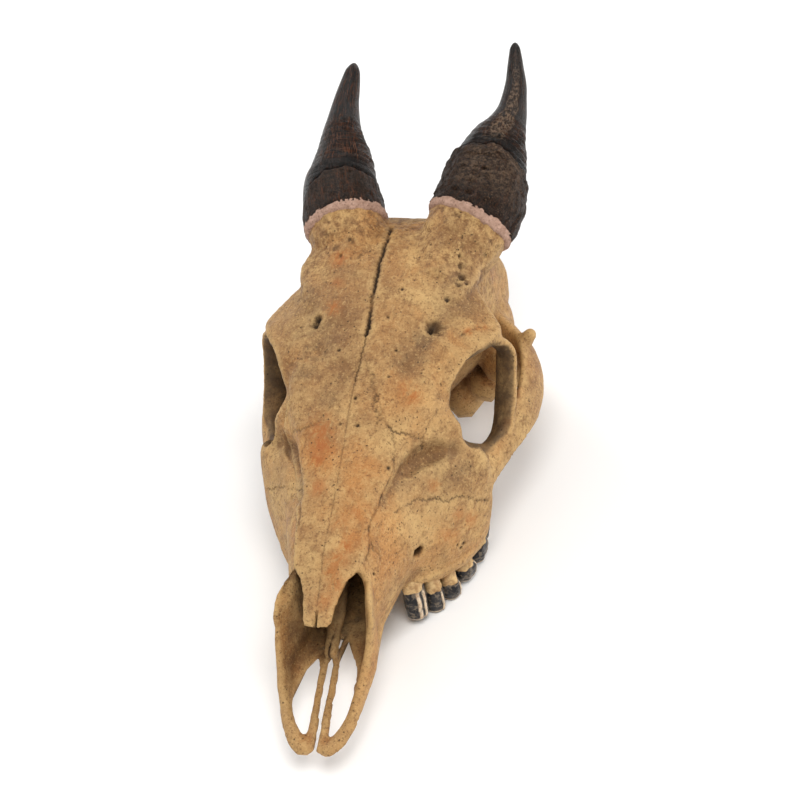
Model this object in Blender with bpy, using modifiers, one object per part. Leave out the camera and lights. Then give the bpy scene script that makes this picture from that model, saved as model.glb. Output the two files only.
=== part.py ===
"""Skull of a Peters' duiker without its lower jaw, with horn sheaths, filler collars and upper cheek teeth.

Lengths in this file are millimetres until MM turns them into Blender's metres. X runs to the skull's own left,
Y backwards from the tip of the upper jaw, and Z up from the surface that the skull rests on.
"""

import math

import bmesh
import bpy
from mathutils import Matrix, Vector

MM = 0.001

# Where the origin is: the middle of the whole width and length, on the resting surface
ORIGIN_X = 0.8
ORIGIN_Y = 115.44

# Driving dimensions
VOXEL = 1.1
BONE_TRIANGLES = 4560
GAP = 0.3

# The skull is not quite straight: how far its midline lies to the left at a few stations
MIDLINE = ((0, 0.1), (24, -0.9), (48, -1.3), (80, -0.3), (108, 0), (130, 0.8), (145, 0.8), (163, 0))

# Bone that closes the face and the vault. Each row is a station along the skull and its half outline, from the
# midline of the roof round the side to the midline of the palate or the base.
HEAD_SECTIONS = (
    (46, ((0, 48.0), (6, 47.6), (10.4, 46.0), (12.6, 39.5), (13.6, 31), (13.0, 23), (11.4, 15), (0, 14.6))),
    (56, ((0, 52.4), (6.5, 51.9), (11.0, 49.9), (14.4, 43), (16.4, 34), (15.2, 24), (11.4, 15.2), (0, 15.4))),
    (66, ((0, 56.7), (7, 56), (12.2, 54.2), (15.6, 47.5), (19.6, 37), (18.8, 26), (12.8, 17.0), (0, 17.4))),
    (76, ((0, 60.9), (8, 60.2), (14.0, 58.2), (16.6, 51.5), (21.8, 41.5), (25.8, 29), (22.8, 14.2), (0, 16.8))),
    (86, ((0, 65), (9.5, 64.3), (16.8, 62.2), (19.0, 55.5), (25.4, 45.5), (31.2, 33), (28.6, 13), (0, 17))),
    (95, ((0, 68.6), (11, 68), (19.8, 66), (23.6, 59.5), (29.6, 49), (35.6, 36), (32.4, 13), (0, 17.5))),
    (103, ((0, 71.8), (12.5, 71.2), (22, 69.2), (26.4, 62), (32.5, 50), (37.0, 37), (30.6, 14), (0, 18))),
    (110, ((0, 74.5), (13, 74), (22, 72), (21, 62), (20.5, 50), (26.5, 34), (27.0, 15), (0, 18.5))),
    (117, ((0, 77.2), (13, 76.6), (21, 74.4), (17, 62), (14, 48), (20, 28), (22.5, 16), (0, 19))),
    (125, ((0, 79.7), (13, 79.2), (22, 77.2), (16, 63), (12.5, 48), (10, 30), (8.5, 20), (0, 20))),
    (135, ((0, 82.4), (12.5, 82.0), (26.5, 79.2), (20, 66), (17, 50), (11, 34), (8, 24), (0, 24))),
    (145, ((0, 84.2), (12, 83.8), (29.0, 79.6), (25.0, 68), (23.5, 52), (18, 36), (8.5, 25), (0, 24))),
    (155, ((0, 84.8), (12, 84.2), (27.0, 79.4), (26.0, 68), (26.4, 53), (24, 37), (11, 23), (0, 22))),
    (165, ((0, 82.4), (11, 82.2), (23, 77.6), (26.4, 66), (27.4, 52), (25.5, 36), (11, 20.5), (0, 20.5))),
    (175, ((0, 76.8), (10.5, 76.4), (20.5, 72), (25.6, 61), (27.8, 49), (26, 34), (12, 20), (0, 20.5))),
    (184, ((0, 69.0), (10, 68.4), (19, 65.0), (25, 56), (27.4, 46), (25, 33), (12, 20.5), (0, 21))),
    (190, ((0, 62), (8.5, 61), (15.5, 57.5), (20.5, 51), (22.5, 43), (20, 32), (10, 23), (0, 23))),
    (193.5, ((0, 54), (6, 53.4), (11, 51), (15, 46.5), (17, 40), (14.5, 32), (8, 26), (0, 26))),
)

# The hollow of the nose, in the same form
NOSE_SECTIONS = (
    (38, ((0, 45.8), (5, 45.5), (8.6, 44.4), (10.6, 38), (11.8, 30), (11.4, 24), (9.6, 18.4), (0, 18.0))),
    (50, ((0, 47.6), (5, 47.2), (8.8, 45.8), (11.2, 39), (12.8, 31), (12.4, 24), (9.6, 18.5), (0, 18))),
    (62, ((0, 52.4), (6, 51.9), (10.0, 50.2), (13.0, 43), (15.2, 33), (14.6, 25), (11, 19), (0, 18.8))),
    (76, ((0, 58.2), (6.5, 57.6), (11.6, 55.5), (14, 48), (16, 37), (16.5, 28), (12.5, 21.5), (0, 21))),
    (90, ((0, 62.5), (6, 62), (11, 59.5), (13, 52), (14, 42), (13, 33), (10, 26), (0, 25))),
    (100, ((0, 60), (4, 59.5), (7, 57), (8, 51), (8, 45), (7, 40), (5, 36), (0, 35))),
)

# Nasal bones: station, half width, height of the ridge line
NASAL_ROOF = (
    (26.9, 3.2, 40.8),
    (28.0, 4.4, 41.3),
    (32.0, 5.2, 42.9),
    (37.0, 6.0, 44.9),
    (42.0, 8.0, 46.8),
    (46.0, 10.6, 48.4),
    (52.0, 11.6, 50.8),
    (60.0, 12.0, 54.1),
)
NASAL_THICKNESS = 1.9

# Plates in front of the closed face: middle of the plate, its half height and its half thickness, and for the bars
# beside the midline and the shelf of the palate its half width and half thickness
INCISIVE_SIDE = (
    (3.7, 1.9, 11.9, 2.0, 2.6),
    (7.0, 5.2, 12.7, 2.0, 2.5),
    (9.9, 11.5, 13.9, 2.3, 2.3),
    (11.5, 18.5, 15.6, 3.1, 2.1),
    (12.6, 26.0, 18.3, 5.0, 1.9),
    (13.3, 32.0, 21.4, 7.6, 1.8),
    (13.0, 38.0, 25.2, 11.0, 1.7),
    (12.0, 43.0, 29.0, 14.2, 1.6),
    (10.9, 50.0, 31.0, 13.0, 1.6),
    (10.8, 57.0, 31.5, 11.0, 1.6),
)
INCISIVE_MIDDLE = (
    (3.4, 2.0, 11.6, 2.4, 1.9),
    (3.05, 5.5, 12.0, 2.05, 1.5),
    (2.75, 12.0, 12.8, 1.7, 1.3),
    (2.7, 22.0, 14.3, 1.65, 1.2),
    (2.8, 32.0, 15.8, 1.65, 1.2),
    (3.1, 44.0, 16.8, 2.0, 1.3),
)
CHEEK_HOLLOW = (
    (16.2, 71.5, 55.4, 1.8),
    (18.4, 77.6, 55.6, 3.2),
    (20.3, 82.6, 55.4, 4.0),
    (22.6, 86.6, 55.2, 4.6),
    (25.8, 90.0, 54.4, 4.6),
    (29.4, 93.0, 52.8, 3.0),
)
PALATE_SHELF = (
    (9.9, 12.0, 13.6, 1.2, 1.2),
    (10.3, 20.0, 14.2, 1.4, 1.2),
    (10.2, 28.0, 15.2, 2.2, 1.2),
    (9.4, 36.0, 16.2, 3.6, 1.2),
    (8.0, 43.0, 16.6, 5.6, 1.3),
    (6.5, 52.0, 16.8, 6.5, 1.5),
)

# Rim of the left orbit, from the front of its roof round the outside and back: the edge, then how deep and how
# thick the bone is there
ORBIT_RIM = (
    (25.9, 104.5, 60.0, 2.6, 1.9),
    (27.4, 111.6, 66.8, 2.6, 1.8),
    (31.5, 119.8, 69.4, 3.0, 1.8),
    (38.0, 127.4, 67.3, 3.8, 1.9),
    (41.4, 130.2, 61.5, 4.6, 1.9),
    (41.6, 127.8, 54.5, 5.2, 1.9),
    (41.5, 122.5, 46.5, 5.3, 2.0),
    (40.8, 115.6, 39.0, 4.8, 2.2),
    (37.4, 108.4, 37.4, 4.2, 2.6),
    (32.8, 104.4, 41.6, 3.6, 2.4),
    (28.4, 101.8, 47.0, 2.8, 2.0),
    (26.8, 101.6, 54.6, 2.6, 1.9),
)
ORBIT_AXIS = (0.81, -0.49, 0.32)

# The arch of bone from the cheek below the orbit back to the ear, and the ridge that the teeth stand in, each with
# its half sizes
ZYGOMATIC_ARCH = (
    (27.5, 91, 32, 7, 4),
    (33.0, 99, 34.0, 6.5, 3.5),
    (36.6, 109, 34.4, 6, 2.8),
    (40.4, 120, 35.8, 5.8, 2.6),
    (41.9, 128, 37.0, 7.2, 2.6),
    (42.4, 135, 37.4, 7.8, 2.4),
    (42.0, 143, 38.4, 8.2, 2.4),
    (39.8, 151, 41.0, 8.6, 2.6),
    (35.4, 157.5, 39.6, 8.0, 3),
    (27, 166, 40, 7, 4),
)
TOOTH_RIDGE = (
    (15.6, 69, 19.4, 3.0, 2.6),
    (18.8, 74, 17.6, 4.4, 3.6),
    (22.2, 80, 15.9, 5.4, 4.8),
    (25.6, 88, 14.0, 6.4, 5.2),
    (27.4, 98, 13.0, 6.8, 5.4),
    (26.6, 109, 13.4, 6.2, 5.2),
    (24.6, 115.5, 16, 4.4, 4.4),
)

# Roof over the orbit: station, edge of the roof (x, z), and the height where it leaves the forehead
ORBIT_ROOF = (
    (103, 24.0, 63.0, 69.5),
    (109, 27.6, 67.0, 72.5),
    (116, 31.2, 70.2, 75.6),
    (124, 36.4, 70.8, 78.6),
    (131, 38.0, 69.2, 81.0),
    (138, 33.0, 71.8, 82.6),
    (144, 28.0, 74.0, 83.6),
)

# Horns: points along the middle of each horn from its foot to its tip, and the horn's radius there
LEFT_HORN = (
    (22.9, 165.0, 82.0, 14.1),
    (25.2, 171.0, 84.6, 14.3),
    (26.2, 179.0, 87.7, 13.6),
    (26.9, 185.5, 90.2, 12.4),
    (28.4, 193.5, 93.2, 9.9),
    (30.2, 199.5, 95.5, 7.0),
    (31.2, 206.0, 97.9, 5.0),
    (31.0, 215.0, 101.2, 3.7),
    (29.8, 222.5, 103.9, 2.7),
    (28.6, 229.4, 106.6, 1.6),
)
RIGHT_HORN = (
    (-17.4, 164.6, 80.4, 13.3),
    (-20.0, 171.5, 83.0, 13.0),
    (-21.9, 178.0, 85.6, 12.3),
    (-22.2, 183.3, 87.6, 11.1),
    (-23.0, 189.0, 89.8, 9.5),
    (-24.5, 195.8, 92.3, 7.3),
    (-25.3, 203.0, 95.0, 5.6),
    (-25.6, 208.5, 97.0, 4.6),
    (-25.5, 214.0, 99.0, 3.8),
    (-25.3, 219.5, 101.0, 2.9),
    (-25.3, 222.8, 102.3, 2.0),
)
CORE_RADIUS = 8.4
CORE_TIP_RADIUS = 5.4
CORE_LENGTH = 19.0
COLLAR_LENGTH = 3.0

# Upper cheek teeth: name, centre x, centre y, half length, half width, turn in degrees, pinch between the lobes, and
# how far the crown stops short of the resting surface
TEETH = (
    ("premolar_2", 15.6, 69.8, 3.8, 3.1, 36, 0.05, 1.4),
    ("premolar_3", 20.0, 75.9, 3.3, 3.6, 32, 0.04, 0.5),
    ("premolar_4", 23.4, 81.9, 3.3, 4.3, 26, 0.02, 0.0),
    ("molar_1", 26.2, 89.4, 4.3, 4.8, 18, 0.14, 0.0),
    ("molar_2", 27.8, 98.7, 4.9, 5.1, 5, 0.15, 0.0),
    ("molar_3", 26.8, 109.2, 5.2, 4.7, -8, 0.15, 0.0),
)
# Height, and size against the widest part of the crown
TOOTH_PROFILE = ((18.8, 0.70), (11.5, 0.84), (7.5, 0.98), (2.5, 1.0), (0.0, 0.84), (1.3, 0.45))
SOCKET_DEPTH = 19.5

BONE = ("bone", (0.60, 0.42, 0.22), 0.75)
HORN = ("horn", (0.045, 0.035, 0.028), 0.45)
FILLER = ("filler", (0.62, 0.38, 0.29), 0.85)
TOOTH = ("tooth", (0.30, 0.26, 0.20), 0.45)


def clear_scene():
    for obj in list(bpy.data.objects):
        bpy.data.objects.remove(obj)


def collection(name, hidden=False):
    made = bpy.data.collections.new(name)
    made.hide_render = hidden
    bpy.context.scene.collection.children.link(made)
    return made


def material(name, colour, roughness):
    made = bpy.data.materials.new(name)
    made.use_nodes = True
    shader = made.node_tree.nodes["Principled BSDF"]
    shader.inputs["Base Color"].default_value = (*colour, 1)
    shader.inputs["Roughness"].default_value = roughness
    shader.inputs["Metallic"].default_value = 0.0
    return made


def drift(y):
    """How far the midline of the skull lies to the side at a station."""
    for (y0, x0), (y1, x1) in zip(MIDLINE, MIDLINE[1:]):
        if y <= y1:
            t = max(0.0, (y - y0) / (y1 - y0))
            return x0 + (x1 - x0) * t * t * (3 - 2 * t)
    return MIDLINE[-1][1]


def place(point):
    """A point of the skull in millimetres, in Blender's metres."""
    x, y, z = point
    return Vector(((x + drift(y) - ORIGIN_X) * MM, (y - ORIGIN_Y) * MM, z * MM))


def mirrored(point, side):
    return (point[0] * side, point[1], point[2])


def new_object(name, mesh, where):
    obj = bpy.data.objects.new(name, mesh)
    where.objects.link(obj)
    return obj


def curve_through(rows, steps):
    """Catmull-Rom points through rows of numbers, with steps points to each span."""
    found = []
    for i in range(len(rows) - 1):
        before = rows[max(i - 1, 0)]
        start = rows[i]
        end = rows[i + 1]
        after = rows[min(i + 2, len(rows) - 1)]
        for k in range(steps):
            t = k / steps
            found.append(
                tuple(
                    b + 0.5 * t * (c - a + t * (2 * a - 5 * b + 4 * c - d + t * (3 * b - a - 3 * c + d)))
                    for a, b, c, d in zip(before, start, end, after)
                )
            )
    found.append(tuple(rows[-1]))
    return found


def curve_round(rows, steps):
    """The same for a closed loop."""
    n = len(rows)
    found = []
    for i in range(n):
        a, b, c, d = (rows[(i + k) % n] for k in (-1, 0, 1, 2))
        found += curve_through((a, b, c, d), steps)[steps : 2 * steps]
    return found


def loft(name, rings, where, closed=False):
    """A solid through rings of points, with its ends closed, or a loop of rings."""
    mesh = bpy.data.meshes.new(name)
    bm = bmesh.new()
    rows = [[bm.verts.new(place(p)) for p in ring] for ring in rings]
    pairs = list(zip(rows, rows[1:]))
    if closed:
        pairs.append((rows[-1], rows[0]))
    for first, second in pairs:
        for i in range(len(first)):
            j = (i + 1) % len(first)
            bm.faces.new((first[i], first[j], second[j], second[i]))
    if not closed:
        bm.faces.new(rows[0][::-1])
        bm.faces.new(rows[-1])
    bmesh.ops.recalc_face_normals(bm, faces=bm.faces)
    bm.to_mesh(mesh)
    bm.free()
    return new_object(name, mesh, where)


def outline_loft(name, sections, where):
    """A body that is the same on both sides of the midline, from half outlines at stations along it."""
    flat = [(y, *[v for point in outline for v in point]) for y, outline in sections]
    rings = []
    for row in curve_through(flat, 4):
        half = curve_through([row[k : k + 2] for k in range(1, len(row), 2)], 4)
        left = [(x, row[0], z) for x, z in half]
        right = [(-x, y, z) for x, y, z in left[-2:0:-1]]
        rings.append(left + right)
    return loft(name, rings, where)


def bar(name, path, wide, thin, wide_way, where, side=1, closed=False, sides=12, steps=4):
    """A bar with oval sections along a path. wide and thin are its half sizes at each point of the path."""
    rows = [(*p, w, t) for p, w, t in zip(path, wide, thin)]
    rows = curve_round(rows, steps) if closed else curve_through(rows, steps)
    points = [Vector(mirrored(r[:3], side)) for r in rows]
    way = Vector(mirrored(wide_way, side))
    rings = []
    for i, (centre, row) in enumerate(zip(points, rows)):
        before = points[i - 1] if i or closed else points[0]
        after = points[(i + 1) % len(points)] if closed else points[min(i + 1, len(points) - 1)]
        along = (after - before).normalized()
        across = (way - along * way.dot(along)).normalized()
        beside = along.cross(across)
        turns = [2 * math.pi * k / sides for k in range(sides)]
        rings.append([centre + across * row[3] * math.cos(a) + beside * row[4] * math.sin(a) for a in turns])
    return loft(name, rings, where, closed)


def ball(name, centre, radii, where, side=1, tilt=(0, 0, 0)):
    """An ellipsoid. tilt is in degrees round X, Y and Z."""
    mesh = bpy.data.meshes.new(name)
    bm = bmesh.new()
    bmesh.ops.create_uvsphere(bm, u_segments=24, v_segments=14, radius=1)
    bm.transform(Matrix.Diagonal((*[r * MM for r in radii], 1)))
    bm.to_mesh(mesh)
    bm.free()
    obj = new_object(name, mesh, where)
    obj.location = place(mirrored(centre, side))
    obj.rotation_euler = (math.radians(tilt[0]), math.radians(tilt[1] * side), math.radians(tilt[2] * side))
    return obj


def rod(name, path, radii, where, side=1):
    """A round bar that tapers, as a bevelled curve turned into a mesh."""
    data = bpy.data.curves.new(name, "CURVE")
    data.dimensions = "3D"
    data.bevel_depth = MM
    data.bevel_resolution = 4
    data.use_fill_caps = True
    spline = data.splines.new("POLY")
    rows = curve_through([(*p, r) for p, r in zip(path, radii)], 4)
    spline.points.add(len(rows) - 1)
    for point, row in zip(spline.points, rows):
        point.co = (*place(mirrored(row[:3], side)), 1)
        point.radius = row[3]
    curve = new_object(name + "_line", data, where)
    bpy.context.view_layer.update()
    mesh = bpy.data.meshes.new_from_object(curve.evaluated_get(bpy.context.evaluated_depsgraph_get()))
    bpy.data.objects.remove(curve)
    bm = bmesh.new()
    bm.from_mesh(mesh)
    bmesh.ops.remove_doubles(bm, verts=bm.verts, dist=0.01 * MM)
    bmesh.ops.recalc_face_normals(bm, faces=bm.faces)
    bm.to_mesh(mesh)
    bm.free()
    return new_object(name, mesh, where)


def baked(obj):
    """Applies what the object's modifiers make to its own mesh."""
    bpy.context.view_layer.update()
    mesh = bpy.data.meshes.new_from_object(obj.evaluated_get(bpy.context.evaluated_depsgraph_get()))
    obj.modifiers.clear()
    obj.data = mesh
    return obj


def joined(name, forms, where):
    """One object that holds all the forms' meshes."""
    bm = bmesh.new()
    bpy.context.view_layer.update()
    for form in forms:
        mesh = form.data.copy()
        mesh.transform(form.matrix_world)
        bm.from_mesh(mesh)
        bpy.data.objects.remove(form)
    mesh = bpy.data.meshes.new(name)
    bm.to_mesh(mesh)
    bm.free()
    return new_object(name, mesh, where)


def fused(obj, voxel, rounds):
    """Makes overlapping forms one skin of even cells, and smooths where they meet."""
    skin = obj.modifiers.new("Remesh", "REMESH")
    skin.mode = "VOXEL"
    skin.voxel_size = voxel * MM
    skin.adaptivity = 0.0
    smooth = obj.modifiers.new("Smooth", "SMOOTH")
    smooth.factor = 0.5
    smooth.iterations = rounds
    return baked(obj)


def cut(obj, cutter):
    modifier = obj.modifiers.new("Cut", "BOOLEAN")
    modifier.operation = "DIFFERENCE"
    modifier.object = cutter
    return baked(obj)


def wing(side, where):
    """The roof over one orbit, thin at its edge."""
    rings = []
    for y, x, z, top in curve_through(ORBIT_ROOF, 3):
        outline = (
            (10, top - 0.5),
            (0.55 * x + 4.5, (top + z) / 2 + 2.2),
            (x + 0.6, z + 0.6),
            (x + 0.2, z - 1.6),
            (0.6 * x + 4.0, (top + z) / 2 - 2.2),
            (10, top - 7),
        )
        rings.append([(px * side, y, pz) for px, pz in outline])
    return loft("orbit_roof", rings, where)


def face_forms(where):
    """Bars and plates of the upper jaw in front of the closed face."""
    forms = []
    for side in (1, -1):
        forms.append(bar("incisive_side", *split(INCISIVE_SIDE), (0.1, 0, 1), where, side))
        forms.append(bar("incisive_middle", *split(INCISIVE_MIDDLE), (1, 0, 0), where, side))
        forms.append(bar("palate_shelf", *split(PALATE_SHELF), (1, 0, 0), where, side))
    return forms


def split(rows):
    """Points, and their two half sizes, from rows that hold both."""
    return [row[:3] for row in rows], [row[3] for row in rows], [row[4] for row in rows]


def nasal_form(where):
    """The two nasal bones as one arched plate that stands out over the nose opening."""
    rings = []
    for y, half, ridge in curve_through(NASAL_ROOF, 3):
        arch = [(half * k / 4, ridge - 1.6 * (k / 4) ** 2 * half / 11) for k in range(5)]
        top = [(x, z) for x, z in arch[::-1]] + [(-x, z) for x, z in arch[1:]]
        under = [(x * 0.96, z - NASAL_THICKNESS) for x, z in top[::-1]]
        rings.append([(x, y, z) for x, z in top + under])
    return loft("nasal_bones", rings, where)


def side_forms(side, where):
    """Everything of one side that stands out from the closed head."""
    forms = [wing(side, where)]
    edge, deep, thick = split(ORBIT_RIM)
    middle = [Vector(p) - Vector(ORBIT_AXIS) * d * 0.9 for p, d in zip(edge, deep)]
    forms.append(bar("orbit_rim", middle, deep, thick, ORBIT_AXIS, where, side, closed=True))
    forms.append(
        bar(
            "zygomatic_arch",
            *split(ZYGOMATIC_ARCH),
            (-0.3, 0, 1),
            where,
            side,
        )
    )
    forms.append(ball("arch_hook", (41.0, 152.0, 48.6), (2.4, 2.6, 2.4), where, side))
    forms.append(ball("jaw_socket", (31, 156, 32.5), (9.5, 7.5, 8.5), where, side, tilt=(6, 10, -20)))
    forms.append(ball("ear_root", (25.5, 170, 36), (5.5, 9, 12), where, side))
    forms.append(ball("bulla", (12.8, 163.5, 14.8), (7.2, 10.5, 10.6), where, side))
    forms.append(ball("ear_capsule", (22, 160, 21.5), (6.8, 7.5, 7.0), where, side))
    forms.append(rod("ear_tube", ((18, 168, 22), (25, 171, 24), (30.5, 173.5, 26)), (6, 4.6, 4.0), where, side))
    forms.append(
        bar(
            "paroccipital",
            ((23, 177, 33), (24, 179, 20), (24, 179.5, 9), (23.2, 178.5, -1.0)),
            (6, 5, 3.6, 2.8),
            (4, 2.8, 2.2, 1.9),
            (0.35, 1, 0),
            where,
            side,
        )
    )
    forms.append(ball("condyle", (8.8, 191.5, 23), (5.6, 6.6, 9), where, side, tilt=(-20, 25, 0)))
    forms.append(
        bar(
            "pterygoid",
            ((11, 117, 22), (9.8, 126, 20), (9.2, 136, 18.5), (9.6, 146, 18.5)),
            (7, 8, 8, 5),
            (1.8, 1.6, 1.6, 2),
            (0, 0, 1),
            where,
            side,
        )
    )
    forms.append(
        bar(
            "tooth_ridge",
            *split(TOOTH_RIDGE),
            (1, 0, 0),
            where,
            side,
        )
    )
    return forms


def horn_frame(path):
    """Middle of a horn's foot and the way that the horn leaves the bone there."""
    base = Vector(path[0][:3])
    return base, (Vector(path[1][:3]) - base).normalized()


def pedicle(path, where):
    """The bone that rises from the forehead to a horn."""
    base, way = horn_frame(path)
    start = Vector((base.x * 0.72, base.y - 24, base.z - 5.5))
    radius = path[0][3]
    spots = (start, base - way * 10, base - way * 4, base + way * 2)
    return rod("pedicle", spots, (8, radius - 1.9, radius - 0.8, radius - 0.4), where)


def solid_along(name, path, profile, where, sides=20):
    """A turned solid on a horn's axis, from steps of distance along it and radius."""
    base, way = horn_frame(path)
    across = way.cross(Vector((0, 0, 1))).normalized()
    beside = way.cross(across)
    turns = [2 * math.pi * k / sides for k in range(sides)]
    spokes = [across * math.cos(a) + beside * math.sin(a) for a in turns]
    rings = [[base + way * far + spoke * radius for spoke in spokes] for far, radius in profile]
    return loft(name, rings, where)


def horn_core(path, where, grow=0.0):
    profile = (
        (-6, CORE_RADIUS + grow),
        (COLLAR_LENGTH, CORE_RADIUS + grow),
        (CORE_LENGTH - 2, CORE_TIP_RADIUS + 1 + grow),
        (CORE_LENGTH + grow, CORE_TIP_RADIUS - 1.5 + grow),
    )
    return solid_along("horn_core", path, profile, where)


def filler_collar(name, path, where, cutters):
    """The ring of filler between the bone and the horn sheath."""
    radius = path[0][3]
    profile = ((0, radius - 0.9), (0.8, radius + 0.1), (COLLAR_LENGTH - 0.8, radius + 0.3), (COLLAR_LENGTH, radius - 0.5))
    return cut(solid_along(name, path, profile, where, 28), horn_core(path, cutters, GAP))


def horn_sheath(name, path, where, cutters, sides=20, steps=2):
    """The horn, hollow at its foot for the core of bone."""
    base, way = horn_frame(path)
    rows = curve_through(path, steps)
    rings = []
    across = way.cross(Vector((0, 0, 1))).normalized()
    for i, row in enumerate(rows):
        centre = Vector(row[:3])
        if (centre - base).dot(way) < COLLAR_LENGTH + 2.5:
            continue
        after = rows[min(i + 1, len(rows) - 1)]
        before = rows[i - 1]
        along = (Vector(after[:3]) - Vector(before[:3])).normalized()
        if not rings:
            foot = base + way * (COLLAR_LENGTH + GAP)
            rings.append(ring_of(foot, way, across, path[0][3], sides))
        rings.append(ring_of(centre, along, across, row[3], sides))
    rings.append(ring_of(centre + along * 0.5 * row[3], along, across, 0.6 * row[3], sides))
    return cut(loft(name, rings, where), horn_core(path, cutters, GAP))


def ring_of(centre, along, across, radius, sides):
    first = (across - along * across.dot(along)).normalized()
    second = along.cross(first)
    turns = [2 * math.pi * k / sides for k in range(sides)]
    return [centre + first * math.cos(a) * radius + second * math.sin(a) * radius for a in turns]


def tooth(name, row, where, side, grow=0.0, sides=12):
    """One upper cheek tooth: root in the jaw, neck, and a crown with two lobes and a worn hollow."""
    x, y, half_length, half_width, turn, pinch, lift = row
    angle = -math.radians(turn) * side
    profile = TOOTH_PROFILE if not grow else ((SOCKET_DEPTH, 0.70), (11.5, 0.84), (7.5, 0.98), (-3, 1.0))
    rings = []
    for z, scale in profile:
        ring = []
        for k in range(sides):
            a = 2 * math.pi * k / sides
            waist = 1 - pinch * math.exp(-((math.sin(a) / 0.38) ** 2))
            across = (half_width * scale + grow) * math.cos(a) * waist
            along = (half_length * scale + grow) * math.sin(a)
            spot = Matrix.Rotation(angle, 2) @ Vector((across, along))
            ring.append((x * side + spot.x, y + spot.y, z + lift * (z < 5)))
        rings.append(ring)
    return loft(name, rings, where)


def hollow_forms(cutters):
    """Spaces that are cut out of the fused bone."""
    forms = [ball("foramen_magnum", (0, 192, 30.5), (7.8, 14, 8.6), cutters)]
    forms.append(ball("throat", (0, 128, 23), (6.6, 13, 8.5), cutters))
    for side in (1, -1):
        forms.append(rod("cheek_hole", ((14.0, 77.5, 31.2), (20.4, 69.6, 31.2), (27.0, 61.2, 31.6)), (1.6, 2.1, 2.4), cutters, side))
    return forms


def cranium(where, cutters, voxel, triangles):
    """The skull bone, as one piece."""
    head = outline_loft("head", HEAD_SECTIONS, where)
    nose = outline_loft("nose_hollow", NOSE_SECTIONS, cutters)
    head = cut(head, nose)
    for side in (1, -1):
        head = cut(head, ball("orbit_hollow", (30, 118, 52.6), (15.5, 15.5, 15.5), cutters, side))
        head = cut(head, ball("orbit_floor", (30, 112, 42), (7, 9, 8), cutters, side))
        head = cut(head, ball("orbit_corner", (33.5, 103.5, 50.5), (4.6, 4.6, 4.6), cutters, side))
        groove = [row[:3] for row in CHEEK_HOLLOW]
        head = cut(head, rod("cheek_hollow", groove, [row[3] for row in CHEEK_HOLLOW], cutters, side))
    head = cut(head, ball("brain_hollow", (0, 164, 55), (23, 26, 24), cutters))
    head = cut(head, rod("brain_way_out", ((0, 168, 44), (0, 184, 36), (0, 206, 29)), (7.4, 7.4, 7.4), cutters))
    forms = [head, nasal_form(where)]
    forms += face_forms(where)
    for side in (1, -1):
        forms += side_forms(side, where)
    forms += [pedicle(LEFT_HORN, where), pedicle(RIGHT_HORN, where)]
    vomer = ((0, 31, 21), (0, 36, 21.5), (0, 48, 22), (0, 64, 23))
    forms.append(bar("vomer", vomer, (0.9, 2.2, 2.6, 2.6), (1.0, 1.6, 3, 4), (1, 0, 0), where))
    bone = fused(joined("cranium", forms, where), voxel, 0)
    for form in hollow_forms(cutters):
        bone = cut(bone, form)
    bone = fused(bone, voxel, 5)
    thin = bone.modifiers.new("Thin", "DECIMATE")
    thin.ratio = triangles / sum(len(face.vertices) - 2 for face in bone.data.polygons)
    bone = baked(bone)
    bone = cut(bone, surface_below(cutters))
    for path in (LEFT_HORN, RIGHT_HORN):
        seat = solid_along("seat", path, ((-GAP, 18), (14, 18)), cutters)
        bone = cut(bone, seat)
        bone = united(bone, horn_core(path, cutters))
    for side in (1, -1):
        for name, *row in TEETH:
            bone = cut(bone, tooth("socket_" + name, row, cutters, side, GAP))
    return bone


def surface_below(cutters):
    """A slab under the skull, which leaves the two tips behind the ears flat where they rest."""
    half = 30 * MM
    bpy.ops.mesh.primitive_cube_add(size=1, location=(0, 64 * MM, -half))
    slab = bpy.context.object
    slab.name = "surface_below"
    slab.scale = (4 * half, 2 * half, 2 * half)
    for holder in list(slab.users_collection):
        holder.objects.unlink(slab)
    cutters.objects.link(slab)
    return slab


def united(obj, other):
    modifier = obj.modifiers.new("Add", "BOOLEAN")
    modifier.operation = "UNION"
    modifier.object = other
    return baked(obj)


def dressed(obj, look, looks):
    """Gives a finished node its material and its shading."""
    name, colour, roughness = look
    if name not in looks:
        looks[name] = material(name, colour, roughness)
    obj.data.materials.clear()
    obj.data.materials.append(looks[name])
    obj.data.set_sharp_from_angle(angle=math.radians(38))
    return obj


def main():
    clear_scene()
    skull = collection("duiker_skull")
    cutters = collection("cutters", hidden=True)
    looks = {}
    dressed(cranium(skull, cutters, VOXEL, BONE_TRIANGLES), BONE, looks)
    for side_name, path in (("left", LEFT_HORN), ("right", RIGHT_HORN)):
        dressed(filler_collar("filler_collar_" + side_name, path, skull, cutters), FILLER, looks)
        dressed(horn_sheath("horn_sheath_" + side_name, path, skull, cutters), HORN, looks)
    for side_name, side in (("left", 1), ("right", -1)):
        for name, *row in TEETH:
            dressed(tooth(name + "_" + side_name, row, skull, side), TOOTH, looks)
    for obj in cutters.objects:
        obj.display_type = "WIRE"


main()
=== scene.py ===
"""Skull of a Peters' duiker without its lower jaw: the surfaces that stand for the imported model's nodes.

Lengths are millimetres until MM turns them into Blender's metres. X runs to the skull's own left, Y backwards
from the tip of the upper jaw, and Z up from the surface that the skull rests on.
"""

import math
from contextlib import contextmanager

import bmesh
import bpy
import numpy as np
from mathutils import Matrix, Vector
from mathutils.bvhtree import BVHTree
from mathutils.kdtree import KDTree


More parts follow.
